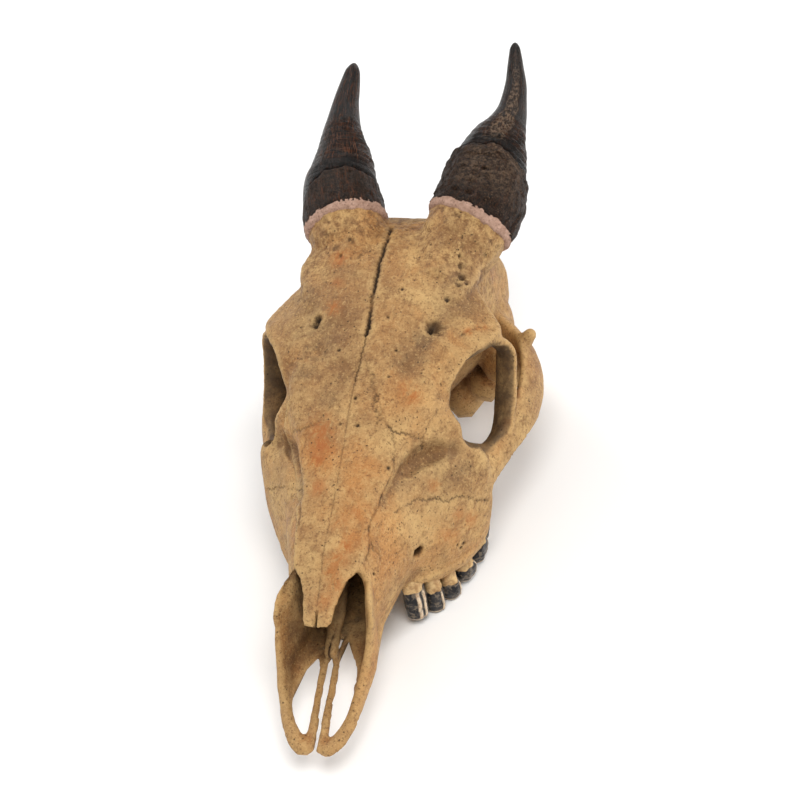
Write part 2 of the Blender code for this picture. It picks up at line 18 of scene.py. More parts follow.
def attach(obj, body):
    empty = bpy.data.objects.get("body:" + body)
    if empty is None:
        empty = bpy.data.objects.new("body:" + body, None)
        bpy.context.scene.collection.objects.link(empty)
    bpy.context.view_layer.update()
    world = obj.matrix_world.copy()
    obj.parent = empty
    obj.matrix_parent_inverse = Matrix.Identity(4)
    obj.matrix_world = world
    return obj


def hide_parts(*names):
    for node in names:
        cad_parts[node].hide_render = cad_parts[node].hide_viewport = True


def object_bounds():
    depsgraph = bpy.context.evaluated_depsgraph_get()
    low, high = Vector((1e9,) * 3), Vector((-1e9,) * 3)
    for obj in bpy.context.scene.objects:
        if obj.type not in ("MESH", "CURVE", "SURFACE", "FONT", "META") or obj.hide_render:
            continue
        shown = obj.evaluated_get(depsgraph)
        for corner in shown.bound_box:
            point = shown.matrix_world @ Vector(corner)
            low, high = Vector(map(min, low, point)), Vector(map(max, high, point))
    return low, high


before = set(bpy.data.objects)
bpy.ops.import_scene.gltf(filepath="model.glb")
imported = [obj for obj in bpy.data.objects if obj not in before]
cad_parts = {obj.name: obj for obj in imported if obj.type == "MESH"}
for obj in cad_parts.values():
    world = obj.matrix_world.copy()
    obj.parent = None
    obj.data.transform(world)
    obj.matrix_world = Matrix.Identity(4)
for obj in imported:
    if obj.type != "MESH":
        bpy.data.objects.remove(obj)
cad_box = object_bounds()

MM = 0.001
BOX_LOW, BOX_HIGH = np.array(cad_box) / MM

# Camera: where it stands, the ways to its right, up and back, and its lens
CAMERA_SPOT = (266.39, -597.06, 710.93)
CAMERA_WAYS = ((0.96528, 0.21741, -0.14477), (-0.03997, 0.67065, 0.74069), (0.25813, -0.7092, 0.65606))
CAMERA_LENS = 143.6

# How fine the surfaces are: cells of the bone's two skins, rounds of smoothing, share of the lower faces kept,
# steps of a horn's path, points round a horn, a collar and a tooth, and the rays for shelter with their reach
FIRST_VOXEL = 0.85
BONE_VOXEL = 0.88
BONE_ROUNDS = 5
KEPT_FACES = 0.66
HORN_STEPS = 22
HORN_AROUND = 176
COLLAR_AROUND = 260
TOOTH_AROUND = 104
SHELTER_RAYS = 9
SHELTER_REACH = 30
# A distance for what lies out of reach
FAR_OFF = 99.0
# Blunt tip of a horn: how much of it is rounded against its radius, and how far it reaches beyond the path
TIP_ROUND = 1.3
TIP_BEYOND = 0.9

# Where the origin is: the middle of the whole width and length, on the resting surface
ORIGIN_X = 0.8
ORIGIN_Y = 115.44

# The skull is not quite straight: how far its midline lies to the left at a few stations
MIDLINE = ((0, 0.1), (24, -0.9), (48, -1.3), (80, -0.3), (108, 0), (130, 0.8), (145, 0.8), (163, 0))

# Bone that closes the face and the vault. Each row is a station along the skull and its half outline,
# from the midline of the roof round the side to the midline of the palate or the base.
HEAD_SECTIONS = (
    (46, ((0, 48), (6, 47.6), (10.4, 46), (12.6, 39.5), (13.6, 31), (13, 23), (11.4, 15), (0, 14.6))),
    (56, ((0, 52.4), (6.5, 51.9), (11, 49.9), (14.4, 43), (16.4, 34), (15.2, 24), (11.4, 15.2), (0, 15.4))),
    (66, ((0, 56.7), (7, 56), (12.2, 54.2), (15.6, 47.5), (19.6, 37), (18.8, 26), (12.8, 17), (0, 17.4))),
    (76, ((0, 60.9), (8, 60.2), (14, 58.2), (16.6, 51.5), (21.8, 41.5), (25.8, 29), (22.8, 14.2), (0, 16.8))),
    (86, ((0, 65), (9.5, 64.3), (16.8, 62.2), (19, 55.5), (25.4, 45.5), (31.2, 33), (28.6, 13), (0, 17))),
    (95, ((0, 68.6), (11, 68), (19.8, 66), (23.6, 59.5), (29.6, 49), (35.6, 36), (32.4, 13), (0, 17.5))),
    (103, ((0, 71.8), (12.5, 71.2), (22, 69.2), (26.4, 62), (32.5, 50), (37, 37), (30.6, 14), (0, 18))),
    (110, ((0, 74.5), (13, 74), (22, 72), (21, 62), (20.5, 50), (26.5, 34), (27, 15), (0, 18.5))),
    (117, ((0, 77.2), (13, 76.6), (21, 74.4), (17, 62), (14, 48), (20, 28), (22.5, 16), (0, 19))),
    (125, ((0, 79.7), (13, 79.2), (22, 77.2), (16, 63), (12.5, 48), (10, 30), (8.5, 20), (0, 20))),
    (135, ((0, 82.4), (12.5, 82), (26.5, 79.2), (20, 66), (17, 50), (11, 34), (8, 24), (0, 24))),
    (145, ((0, 84.2), (12, 83.8), (29, 79.6), (25, 68), (23.5, 52), (18, 36), (8.5, 25), (0, 24))),
    (155, ((0, 84.8), (12, 84.2), (27, 79.4), (26, 68), (26.4, 53), (24, 37), (11, 23), (0, 22))),
    (165, ((0, 82.4), (11, 82.2), (23, 77.6), (26.4, 66), (27.4, 52), (25.5, 36), (11, 20.5), (0, 20.5))),
    (175, ((0, 76.8), (10.5, 76.4), (20.5, 72), (25.6, 61), (27.8, 49), (26, 34), (12, 20), (0, 20.5))),
    (184, ((0, 69), (10, 68.4), (19, 65), (25, 56), (27.4, 46), (25, 33), (12, 20.5), (0, 21))),
    (190, ((0, 62), (8.5, 61), (15.5, 57.5), (20.5, 51), (22.5, 43), (20, 32), (10, 23), (0, 23))),
    (193.5, ((0, 54), (6, 53.4), (11, 51), (15, 46.5), (17, 40), (14.5, 32), (8, 26), (0, 26))),
)

# The hollow of the nose, in the same form
NOSE_SECTIONS = (
    (38, ((0, 45.8), (5, 45.5), (8.6, 44.4), (10.6, 38), (11.8, 30), (11.4, 24), (9.6, 18.4), (0, 18))),
    (50, ((0, 47.6), (5, 47.2), (8.8, 45.8), (11.2, 39), (12.8, 31), (12.4, 24), (9.6, 18.5), (0, 18))),
    (62, ((0, 52.4), (6, 51.9), (10, 50.2), (13, 43), (15.2, 33), (14.6, 25), (11, 19), (0, 18.8))),
    (76, ((0, 58.2), (6.5, 57.6), (11.6, 55.5), (14, 48), (16, 37), (16.5, 28), (12.5, 21.5), (0, 21))),
    (90, ((0, 62.5), (6, 62), (11, 59.5), (13, 52), (14, 42), (13, 33), (10, 26), (0, 25))),
    (100, ((0, 60), (4, 59.5), (7, 57), (8, 51), (8, 45), (7, 40), (5, 36), (0, 35))),
)

# Nasal bones: station, half width, height of the ridge line
NASAL_ROOF = (
    (26.9, 3.2, 40.8), (28, 4.4, 41.3), (32, 5.2, 42.9), (37, 6, 44.9), (42, 8, 46.8), (46, 10.6, 48.4),
    (52, 11.6, 50.8), (60, 12, 54.1),
)
NASAL_THICKNESS = 1.9

# Plates in front of the closed face: middle of the plate, its half height and its half thickness, and for
# the bars beside the midline and the shelf of the palate its half width and half thickness
INCISIVE_SIDE = (
    (3.7, 1.9, 11.9, 2, 2.6), (7, 5.2, 12.7, 2, 2.5), (9.9, 11.5, 13.9, 2.3, 2.3),
    (11.5, 18.5, 15.6, 3.1, 2.1), (12.6, 26, 18.3, 5, 1.9), (13.3, 32, 21.4, 7.6, 1.8),
    (13, 38, 25.2, 11, 1.7), (12, 43, 29, 14.2, 1.6), (10.9, 50, 31, 13, 1.6), (10.8, 57, 31.5, 11, 1.6),
)
INCISIVE_MIDDLE = (
    (3.4, 2, 11.6, 2.4, 1.9), (3.05, 5.5, 12, 2.05, 1.5), (2.75, 12, 12.8, 1.7, 1.3),
    (2.7, 22, 14.3, 1.65, 1.2), (2.8, 32, 15.8, 1.65, 1.2), (3.1, 44, 16.8, 2, 1.3),
)
CHEEK_HOLLOW = (
    (16.2, 71.5, 55.4, 1.8), (18.4, 77.6, 55.6, 3.2), (20.3, 82.6, 55.4, 4), (22.6, 86.6, 55.2, 4.6),
    (25.8, 90, 54.4, 4.6), (29.4, 93, 52.8, 3),
)
PALATE_SHELF = (
    (9.9, 12, 13.6, 1.2, 1.2), (10.3, 20, 14.2, 1.4, 1.2), (10.2, 28, 15.2, 2.2, 1.2),
    (9.4, 36, 16.2, 3.6, 1.2), (8, 43, 16.6, 5.6, 1.3), (6.5, 52, 16.8, 6.5, 1.5),
)

# Rim of the left orbit, from the front of its roof round the outside and back: the edge, then how deep
# and how thick the bone is there
ORBIT_RIM = (
    (25.9, 104.5, 60, 2.6, 1.9), (27.4, 111.6, 66.8, 2.6, 1.8), (31.5, 119.8, 69.4, 3, 1.8),
    (38, 127.4, 67.3, 3.8, 1.9), (41.4, 130.2, 61.5, 4.6, 1.9), (41.6, 127.8, 54.5, 5.2, 1.9),
    (41.5, 122.5, 46.5, 5.3, 2), (40.8, 115.6, 39, 4.8, 2.2), (37.4, 108.4, 37.4, 4.2, 2.6),
    (32.8, 104.4, 41.6, 3.6, 2.4), (28.4, 101.8, 47, 2.8, 2), (26.8, 101.6, 54.6, 2.6, 1.9),
)
ORBIT_AXIS = (0.81, -0.49, 0.32)

# The arch of bone from the cheek below the orbit back to the ear, and the ridge that the teeth stand in,
# each with its half sizes
ZYGOMATIC_ARCH = (
    (27.5, 91, 32, 7, 4), (33, 99, 34, 6.5, 3.5), (36.6, 109, 34.4, 6, 2.8), (40.4, 120, 35.8, 5.8, 2.6),
    (41.9, 128, 37, 7.2, 2.6), (42.4, 135, 37.4, 7.8, 2.4), (42, 143, 38.4, 8.2, 2.4),
    (39.8, 151, 41, 8.6, 2.6), (35.4, 157.5, 39.6, 8, 3), (27, 166, 40, 7, 4),
)
TOOTH_RIDGE = (
    (15.6, 69, 19.4, 3, 2.6), (18.8, 74, 17.6, 4.4, 3.6), (22.2, 80, 15.9, 5.4, 4.8),
    (25.6, 88, 14, 6.4, 5.2), (27.4, 98, 13, 6.8, 5.4), (26.6, 109, 13.4, 6.2, 5.2),
    (24.6, 115.5, 16, 4.4, 4.4),
)

# Roof over the orbit: station, edge of the roof (x, z), and the height where it leaves the forehead
ORBIT_ROOF = (
    (103, 24, 63, 69.5), (109, 27.6, 67, 72.5), (116, 31.2, 70.2, 75.6), (124, 36.4, 70.8, 78.6),
    (131, 38, 69.2, 81), (138, 33, 71.8, 82.6), (144, 28, 74, 83.6),
)

# Horns: points along the middle of each horn from its foot to its tip, and the horn's radius there
LEFT_HORN = (
    (22.9, 165, 82, 14.1), (25.2, 171, 84.6, 14.3), (26.2, 179, 87.7, 13.6), (26.9, 185.5, 90.2, 12.4),
    (28.4, 193.5, 93.2, 9.9), (30.2, 199.5, 95.5, 7), (31.2, 206, 97.9, 5), (31, 215, 101.2, 3.7),
    (29.8, 222.5, 103.9, 2.7), (28.6, 229.4, 106.6, 1.6),
)
RIGHT_HORN = (
    (-17.4, 164.6, 80.4, 13.3), (-20, 171.5, 83, 13), (-21.9, 178, 85.6, 12.3), (-22.2, 183.3, 87.6, 11.1),
    (-23, 189, 89.8, 9.5), (-24.5, 195.8, 92.3, 7.3), (-25.3, 203, 95, 5.6), (-25.6, 208.5, 97, 4.6),
    (-25.5, 214, 99, 3.8), (-25.3, 219.5, 101, 2.9), (-25.3, 222.8, 102.3, 2),
)
# How far up a horn its filler reaches
COLLAR_LENGTH = 3

# Upper cheek teeth: name, centre x, centre y, half length, half width, turn in degrees, pinch between the
# lobes, and how far the crown stops short of the resting surface
TEETH = (
    ("premolar_2", 15.6, 69.8, 3.8, 3.1, 36, 0.05, 1.4), ("premolar_3", 20, 75.9, 3.3, 3.6, 32, 0.04, 0.5),
    ("premolar_4", 23.4, 81.9, 3.3, 4.3, 26, 0.02, 0), ("molar_1", 26.2, 89.4, 4.3, 4.8, 18, 0.14, 0),
    ("molar_2", 27.8, 98.7, 4.9, 5.1, 5, 0.15, 0), ("molar_3", 26.8, 109.2, 5.2, 4.7, -8, 0.15, 0),
)

# Seams of the bone, as points on its surface where the skull stands, each with how deep and wide the seam
# is, how far it wanders to the sides, and how dark it is
FRONTAL_SEAM = (
    (-1.8, 162.7, 84), (-1, 155.8, 84.8), (-0.9, 149.4, 84.7), (-1.2, 144.7, 84), (-1.1, 141, 83.5),
    (-0.8, 136.5, 82.7), (-0.9, 133.1, 81.9), (-0.8, 129.5, 80.9), (-0.5, 125.9, 79.8), (-0.3, 121.6, 78.6),
    (-0.4, 117.1, 77.2), (-0.5, 113.5, 75.8), (-0.8, 109.6, 74.3), (-1, 105.7, 72.8), (-1.4, 102.1, 71.4),
)
NASAL_SEAM = (
    (-1.4, 102.1, 71.4), (-1.7, 94.4, 68.3), (-1.6, 86.5, 65.1), (-1.6, 80.9, 62.8), (-1.6, 75.6, 60.7),
    (-1.6, 68.1, 57.3), (-1.9, 58.9, 53.5), (-2.2, 49.7, 49.8), (-1.7, 39.7, 45.8), (-1.2, 30.4, 42.1),
    (-1.1, 27.4, 41),
)
FRONT_NASAL_SEAM = (
    (-0.2, 111.5, 74.9), (1, 109, 74.1), (2.3, 105.1, 72.6), (4.5, 101.4, 71), (6.7, 97.8, 69.4),
    (7.8, 94.7, 68.1), (8.9, 91.7, 66.8), (11.3, 88.6, 65.2), (13.9, 87.6, 64.2), (16.3, 87.7, 63.4),
    (18.1, 88.5, 62), (19.9, 90.1, 59.3), (20.5, 91.1, 54.2),
)
TEAR_SEAM = ((20.4, 90.4, 58.6), (21.7, 93.1, 60.4), (23.1, 96.3, 62.1), (24.4, 99.5, 63.1))
TEAR_JAW_SEAM = ((13.2, 86.8, 64.4), (14.1, 82.4, 61.5), (14.4, 79.4, 59.3), (14.6, 77.1, 57.3))
CHEEK_SEAM = (
    (15.5, 68.8, 48.5), (16.8, 71.8, 47.3), (18.3, 74.6, 46.5), (19.6, 76.9, 46), (21.5, 78.7, 44.4),
    (23.6, 81.1, 42.7), (25.6, 82.6, 40.9), (27.6, 84.1, 39.2), (29.6, 86.3, 38.5), (31, 88.2, 37.6),
    (32.7, 90.1, 34.7), (34.3, 92.9, 31.6), (35.6, 96.7, 28),
)
RIGHT_CHEEK_SEAM = (
    (-33.5, 90.5, 34.2), (-29.6, 86, 38.8), (-26.5, 83.8, 41.9), (-22.8, 80.5, 44.9), (-19, 76.6, 48),
    (-15.2, 71.4, 53.3),
)
NASAL_SIDE_SEAM = (
    (14.4, 75, 57), (13.3, 72.1, 55.7), (12.8, 69.1, 54.4), (12.3, 67, 53.8), (11.3, 63.8, 53),
    (10.3, 61, 52.3), (10.2, 57.9, 51.1), (10.5, 55.5, 49.2), (10.7, 52.9, 46.8), (10.3, 50.1, 46.1),
)
JAW_TIP_SEAM = ((10.4, 56.6, 49.6), (11.5, 54.6, 46.3), (12.6, 55.2, 44.1), (13, 54.9, 42.4))
ORBIT_CRACK = (
    (29, 121.5, 74.3), (30.9, 124.1, 74.1), (32.9, 126.5, 73.4), (35.1, 127.6, 72.2), (36.8, 128.1, 71),
)
# points, depth, width, wander, darkness
SEAMS = (
    (FRONTAL_SEAM[:11], 1, 0.46, 0.22, 1),
    (FRONTAL_SEAM[9:], 0.4, 0.26, 0.22, 0.62),
    (NASAL_SEAM, 0.16, 0.22, 0.1, 0.42),
    (FRONT_NASAL_SEAM[:8], 0.15, 0.22, 0.25, 0.34),
    (FRONT_NASAL_SEAM[7:], 0.3, 0.28, 0.4, 0.72),
    (TEAR_SEAM, 0.15, 0.24, 0.35, 0.38),
    (TEAR_JAW_SEAM, 0.2, 0.26, 0.4, 0.45),
    (CHEEK_SEAM, 0.22, 0.24, 0.4, 0.55),
    (RIGHT_CHEEK_SEAM, 0.22, 0.24, 0.35, 0.5),
    (NASAL_SIDE_SEAM, 0.45, 0.34, 0.14, 0.8),
    (JAW_TIP_SEAM, 0.25, 0.28, 0.2, 0.6),
    (ORBIT_CRACK, 0.25, 0.26, 0.35, 0.6),
    (((3.4, 104.5, 72.6), (5, 99.5, 70.9), (6.6, 94.2, 68.9), (8.4, 89, 66.6)), 0.3, 0.34, 0.7, 0.65),
)
# Seams that the other side has too
TWIN_SEAMS = (3, 4, 5, 6, 9, 10)

# Holes and pits: point on the surface, radius, depth, darkness, where the darkness is painted shade inside the
# hole
PITS = (
    (20.4, 122.4, 77.5, 2.3, 2, 0.6), (19.6, 121.1, 77.4, 1.1, 1.8, 0.9), (-18, 123.3, 78.4, 1.2, 2.2, 0.9),
    (-18.4, 121.2, 77.8, 1, 1.8, 0.8), (25.7, 141.4, 81.3, 1.4, 1.3, 0.7), (24.6, 144.7, 82.6, 0.9, 0.8, 0.6),
    (25.3, 138, 80.8, 0.8, 0.8, 0.6), (22.8, 132, 80.2, 0.7, 0.8, 0.9), (27.4, 139.6, 80, 0.6, 0.7, 0.7),
    (23.9, 147.5, 84.6, 0.6, 0.7, 0.7), (29.2, 81.1, 23.1, 0.5, 0.6, 0.9), (29.6, 82.2, 20.8, 0.5, 0.6, 0.9),
    (30.3, 83.6, 21.5, 0.6, 0.7, 1), (12, 49.7, 40.6, 0.5, 0.7, 1), (9.9, 112.8, 75.3, 0.45, 0.5, 0.9),
    (8.1, 133.9, 82, 0.5, 0.5, 0.9), (5.4, 123.7, 79.2, 0.4, 0.4, 0.7), (-0.4, 96.7, 69.2, 0.6, 0.6, 0.9),
    (-3.8, 88.4, 65.8, 0.5, 0.4, 0.6), (1.8, 88.2, 65.8, 0.6, 0.6, 0.9), (-8.5, 112, 75.2, 0.5, 0.5, 0.8),
    (13.4, 76.8, 59.4, 0.5, 0.5, 0.9), (-14.5, 146.5, 84.3, 0.5, 0.5, 0.6), (-12.5, 152, 86, 0.6, 0.5, 0.7),
    (9, 104, 72, 0.45, 0.4, 0.7),
)

# Grooves
SUPRA_GROOVE = (
    (24.5, 130.3, 78.8), (22.9, 127, 78.3), (21.3, 123.7, 77.7), (19.7, 120.4, 77.3), (18.3, 117.6, 76.4),
    (16.8, 114.8, 75.4), (15.1, 111.7, 74.4), (14, 108.7, 73.3),
)
RIGHT_SUPRA_GROOVE = (
    (-20.7, 126.4, 78.5), (-18.6, 123, 78.3), (-16.6, 119.6, 77.2), (-15.3, 116.1, 76.1),
    (-14.3, 112.8, 74.9),
)
CHEEK_GROOVE = (
    (13.2, 69.3, 52.9), (13.9, 75.1, 53.3), (15.2, 80.4, 53), (17.6, 86.1, 52), (21.2, 90.4, 51.2),
    (25, 93.4, 50.4), (28.2, 95.4, 49.6),
)
# Ridge along the edge of the right side of the face, with the wall that drops behind it
# Its crest rises a little and is painted paler as a highlight, and the wall behind it is painted darker as
# shade
LEDGE = (
    (-22.3, 98.2, 65.9), (-23.5, 96.8, 62.1), (-24.1, 94.2, 56.7), (-24.7, 95, 52.4), (-22.9, 91, 50.6),
    (-19.7, 84.1, 51.1), (-16.6, 74.3, 50.4), (-13.6, 62.4, 51.4), (-12, 53.5, 49.6), (-11.2, 45.8, 46.6),
)
LEDGE_WAY = (-0.75, 0, -0.66)
LEDGE_DROP = 2
# points, width, depth, darkness, where the darkness is grime and painted shade in the groove; the last one has
# a twin on the other side
GROOVES = (
    (SUPRA_GROOVE, 4.6, 1.1, 0.45),
    (SUPRA_GROOVE, 1.8, 0.5, 0.45),
    (RIGHT_SUPRA_GROOVE, 4.2, 1, 0.45),
    (RIGHT_SUPRA_GROOVE, 1.6, 0.4, 0.45),
    (CHEEK_GROOVE, 2.6, 1.9, 0.8),
)

# Slab with raised edges in the floor of the nose, as it lies on the skull: middle, half width
VOMER = ((-0.7, 34, 19.4, 2.6), (-1.9, 45, 22, 2.3), (-3.4, 60, 27, 2.5))
# Small holes through the palate: side, back, radius
PALATE_HOLES = ((-5, 39.5, 0.9), (2.8, 51, 0.7))
# Gap beside the left bar: middle, half width and half thickness
SHELF_GAP = (
    (6.6, 27, 15.5, 2.4, 4), (5.8, 34, 16.2, 2.2, 4), (4.6, 38.5, 16.8, 1.7, 4), (3.5, 42, 17.2, 1, 4),
    (2.7, 45.5, 17.6, 0.6, 4),
)

# How far the bars at the tip of the upper jaw lie to the side: distance back, and the shift of the bar
# beside the midline and of the outer bar, for the left and the right side
BAR_SHIFTS = (
    (
        1, ((0, -0.9), (8, -0.95), (24, -1.1), (32, -1.6), (40, -1.2), (50, 0)),
        ((0, -0.5), (20, -0.7), (30, -0.4), (42, 0)),
    ),
    (
        -1, ((0, 1), (8, 0.95), (24, 0.3), (30, 0), (46, 0)),
        (
            (0, 0.6), (8, 0.4), (16, 0), (22, -0.7), (27, -0.9), (31, -0.4), (36, 0.6), (41, 1.5), (46, 1),
            (50, 0),
        ),
    ),
)

# Soft patches of colour: point, reach, strength
RUST_SPOTS = (
    (-14.5, 145.3, 84.3, 2.6, 0.9), (-13, 126.5, 79.6, 2.4, 0.8), (-13.6, 136, 82, 2, 0.35),
    (-9.2, 82, 62.6, 3.4, 1), (-9.3, 77, 60.9, 3, 0.9), (-6.5, 80.5, 62.2, 2.2, 0.8),
    (-6.2, 74.1, 59.7, 2.4, 0.6), (4.1, 51.2, 50, 2.2, 1), (5, 54.4, 51.2, 2, 0.6), (1.5, 43, 47, 2.6, 0.6),
    (3.6, 39.7, 45.3, 2.6, 0.6), (0.6, 34.5, 43.6, 2.4, 0.5), (16.8, 99.3, 69.1, 3, 0.95),
    (14.6, 101.6, 70, 2.2, 0.6), (8.7, 54.3, 50.3, 2.4, 0.4), (3.4, 68.3, 57.4, 3, 0.35),
    (6.4, 74.8, 59.8, 4, 0.35), (32.3, 87.8, 27.7, 3, 0.6), (30.4, 84.2, 33, 2.6, 0.45),
    (28.8, 81.2, 27.4, 2.4, 0.5), (1.2, 58, 53.3, 3, 0.4), (-9.8, 86.5, 64, 4, 0.8), (-7.4, 69, 57.3, 3, 0.6),
    (2.6, 47, 48.6, 2.6, 0.8), (6.8, 62, 54, 3, 0.5), (27.4, 78, 30, 3, 0.5), (24.6, 84, 46, 2.2, 0.5),
    (40.6, 116, 44, 2.4, 0.5), (-6, 86, 64.7, 2, 0.5), (30.5, 123.6, 74.3, 1.3, 0.8),
    (33, 126.5, 73.4, 1.2, 0.8), (35, 127.7, 72.2, 1.2, 0.7), (41.5, 130, 45, 2, 0.6),
)
# Greyish patches: grime on the forehead and cheek, and painted shade on the inner walls of the nose
GREY_SPOTS = (
    (18, 116.6, 76.1, 4.4, 0.85), (21, 122, 77.5, 4.2, 0.9), (14.6, 110, 73.8, 3.8, 0.6),
    (-18.6, 120, 77.3, 4.2, 0.8), (-16.4, 112, 74.6, 5, 0.6), (-19, 106, 71.5, 5, 0.5),
    (17, 80.5, 54.4, 4.6, 0.9), (20.6, 87, 53.6, 4.8, 1), (24.5, 90.6, 52.4, 4.6, 0.8),
    (14.8, 73.4, 53.8, 3.2, 0.6), (24, 86, 46.6, 6, 0.35), (30, 92, 44, 6, 0.5), (26, 139, 80.5, 6, 0.6),
    (27.5, 132, 77, 5, 0.5), (-24, 132, 79, 7, 0.5), (-8, 96, 69, 5, 0.35), (-9, 88, 65, 4, 0.4),
    (6, 100, 70.8, 4, 0.3), (-25, 88, 44, 5, 0.3), (-13.5, 45, 31, 6, 0.7), (-13, 37, 26, 5.5, 0.7),
    (-12.5, 30, 21, 4.5, 0.6), (-2, 42, 21.5, 5, 0.6),
)
ORANGE_SPOTS = (
    (5.5, 62, 54.5, 6, 0.8), (4, 71, 58.4, 6, 0.7), (3.5, 80, 62, 6, 0.6), (6, 54, 51, 5, 0.7),
    (-8, 78, 61, 6, 0.7), (-9, 88, 64.5, 6, 0.5), (13, 98, 69, 7, 0.4), (-4, 62, 54.5, 5, 0.4),
    (6, 120, 78, 9, 0.3), (9, 142, 84, 9, 0.3), (-12, 148, 85, 7, 0.4), (33, 128, 73, 5, 0.4),
    (40, 125, 48, 5, 0.3), (38, 112, 42, 5, 0.5), (41, 142, 44, 6, 0.4), (1, 44, 47.5, 5, 0.5),
    (10, 4, 12, 10, 0.9), (-10, 4, 12, 10, 0.9), (16, 24, 20, 10, 0.7), (-15, 30, 22, 10, 0.7),
    (0, 22, 15, 10, 0.6),
)
BROWN_SPOTS = (
    (-8.6, 124, 79.1, 9, 0.75), (-8.6, 115.4, 76.2, 8, 0.6), (-5.2, 105.6, 72.6, 8, 0.7),
    (-13.9, 151.3, 86.8, 8, 0.35), (22.2, 152.2, 88.5, 8, 0.55), (27, 150.3, 84.9, 8, 0.5),
    (-22.7, 150.8, 82.7, 8, 0.4), (-22.8, 119.8, 75.9, 7, 0.35), (-27.4, 108.6, 66.7, 8, 0.5),
    (-12.8, 125.7, 79.5, 7, 0.6), (18.4, 115.9, 75, 6, 0.5), (14.9, 110.4, 73, 5, 0.5),
    (-2.8, 136.6, 83, 9, 0.3), (-12.5, 138, 82.5, 8, 0.45), (29.9, 137.6, 75.2, 7, 0.5), (-9, 84, 63, 6, 0.4),
    (-14, 96, 67, 7, 0.4), (1.3, 40.8, 46.2, 8, 0.3), (10, 6, 13, 14, 0.55), (-10, 6, 13, 14, 0.6),
    (-15, 26, 20, 12, 0.45), (0, 14, 14, 12, 0.5), (16, 30, 20, 10, 0.25), (3, 34, 17, 9, 0.45),
    (25.5, 88, 45, 6, 0.25), (36, 122, 70, 6, 0.3), (42.5, 135.8, 43.9, 9, 0.4), (41.9, 148.2, 45.7, 9, 0.4),
    (39, 118, 40, 8, 0.3),
)
PALE_SPOTS = (
    (19.5, 133, 81.4, 5, 0.8), (22, 128, 79.4, 3, 0.5), (23.5, 138, 82.4, 4, 0.5),
    (11.6, 85.4, 63.6, 4.6, 0.7), (17.5, 90.8, 64.6, 4, 0.5), (24, 98, 62.5, 5, 0.5),
    (22.2, 73.5, 36, 5, 0.95), (26, 83, 38, 6, 0.9), (20.5, 71, 42, 5, 0.8), (24, 78, 41, 5, 0.7),
    (18, 73, 48, 3.5, 0.6), (31, 94, 50, 4, 0.5), (31, 88, 34, 5, 0.4), (-23, 82, 40, 8, 0.6),
    (-28, 92, 44, 6, 0.5), (-4, 120, 78, 6, 0.2), (28, 112, 70, 5, 0.3),
)

# For each tooth: height where the dark crown ends, ribs (how far back, how tall, how broad), and how much
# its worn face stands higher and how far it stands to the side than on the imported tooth
TOOTH_MARKS = (
    (15, ((-0.22, 0.13, 0.17), (0.36, 0.14, 0.15)), 1.6, 1), (9.4, ((0.2, 0.13, 0.15),), 0, 0.3),
    (6.8, ((0.46, 0.11, 0.12),), 0.4, 0), (6.4, ((0.62, 0.09, 0.09),), 1.6, 0),
    (7.2, ((0.62, 0.09, 0.09),), 1.2, 0), (9, ((0.62, 0.09, 0.09),), 0, 0),
)

# Colours, light first
BONE_MID = (0.37, 0.192, 0.066)
BONE_PALE = (0.59, 0.38, 0.158)
BONE_BROWN = (0.19, 0.086, 0.029)
BONE_GREY = (0.12, 0.08, 0.044)
BONE_RUST = (0.32, 0.078, 0.015)
BONE_ORANGE = (0.5, 0.2, 0.046)
# Dark brown for grime and specks, and for the painted shade of hollows and closed-in places
BONE_DIRT_AND_SHADE = (0.07, 0.042, 0.022)
BONE_DARK = (0.022, 0.013, 0.007)
HORN_BLACK = (0.005, 0.0045, 0.004)
HORN_CRACK = (0.002, 0.002, 0.002)
HORN_BROWN = (0.078, 0.036, 0.018)
HORN_TAN = (0.36, 0.23, 0.14)
HORN_RUST = (0.165, 0.052, 0.018)
TOOTH_BLACK = (0.01, 0.01, 0.012)
TOOTH_CREAM = (0.74, 0.59, 0.42)
TOOTH_NECK = (0.64, 0.44, 0.21)

# Other forms of each side. Bars: rows of a point and two half sizes, and the way that the first lies along
BAR_SIDES = 12
EAR_POINT = (
    (23, 177, 33, 6, 4), (24, 179, 20, 5, 2.8), (24, 179.5, 9, 3.6, 2.2), (23.2, 178.5, -1, 2.8, 1.9)
)
THROAT_WALL = (
    (11, 117, 22, 7, 1.8), (9.8, 126, 20, 8, 1.6), (9.2, 136, 18.5, 8, 1.6), (9.6, 146, 18.5, 5, 2)
)
SIDE_BARS = (
    (INCISIVE_SIDE, (0.1, 0, 1)),
    (INCISIVE_MIDDLE, (1, 0, 0)),
    (PALATE_SHELF, (1, 0, 0)),
    (ZYGOMATIC_ARCH, (-0.3, 0, 1)),
    (TOOTH_RIDGE, (1, 0, 0)),
    (EAR_POINT, (0.35, 1, 0)),
    (THROAT_WALL, (0, 0, 1)),
)
# Balls: centre, radii and tilt of the arch's hook, the jaw's seat, the ear's root, bulb and capsule, the
# condyle
SIDE_BALLS = (
    ((41, 152, 48.6), (2.4, 2.6, 2.4), (0, 0, 0)),
    ((31, 156, 32.5), (9.5, 7.5, 8.5), (6, 10, -20)),
    ((25.5, 170, 36), (5.5, 9, 12), (0, 0, 0)),
    ((12.8, 163.5, 14.8), (7.2, 10.5, 10.6), (0, 0, 0)),
    ((22, 160, 21.5), (6.8, 7.5, 7), (0, 0, 0)),
    ((8.8, 191.5, 23), (5.6, 6.6, 9), (-20, 25, 0)),
)
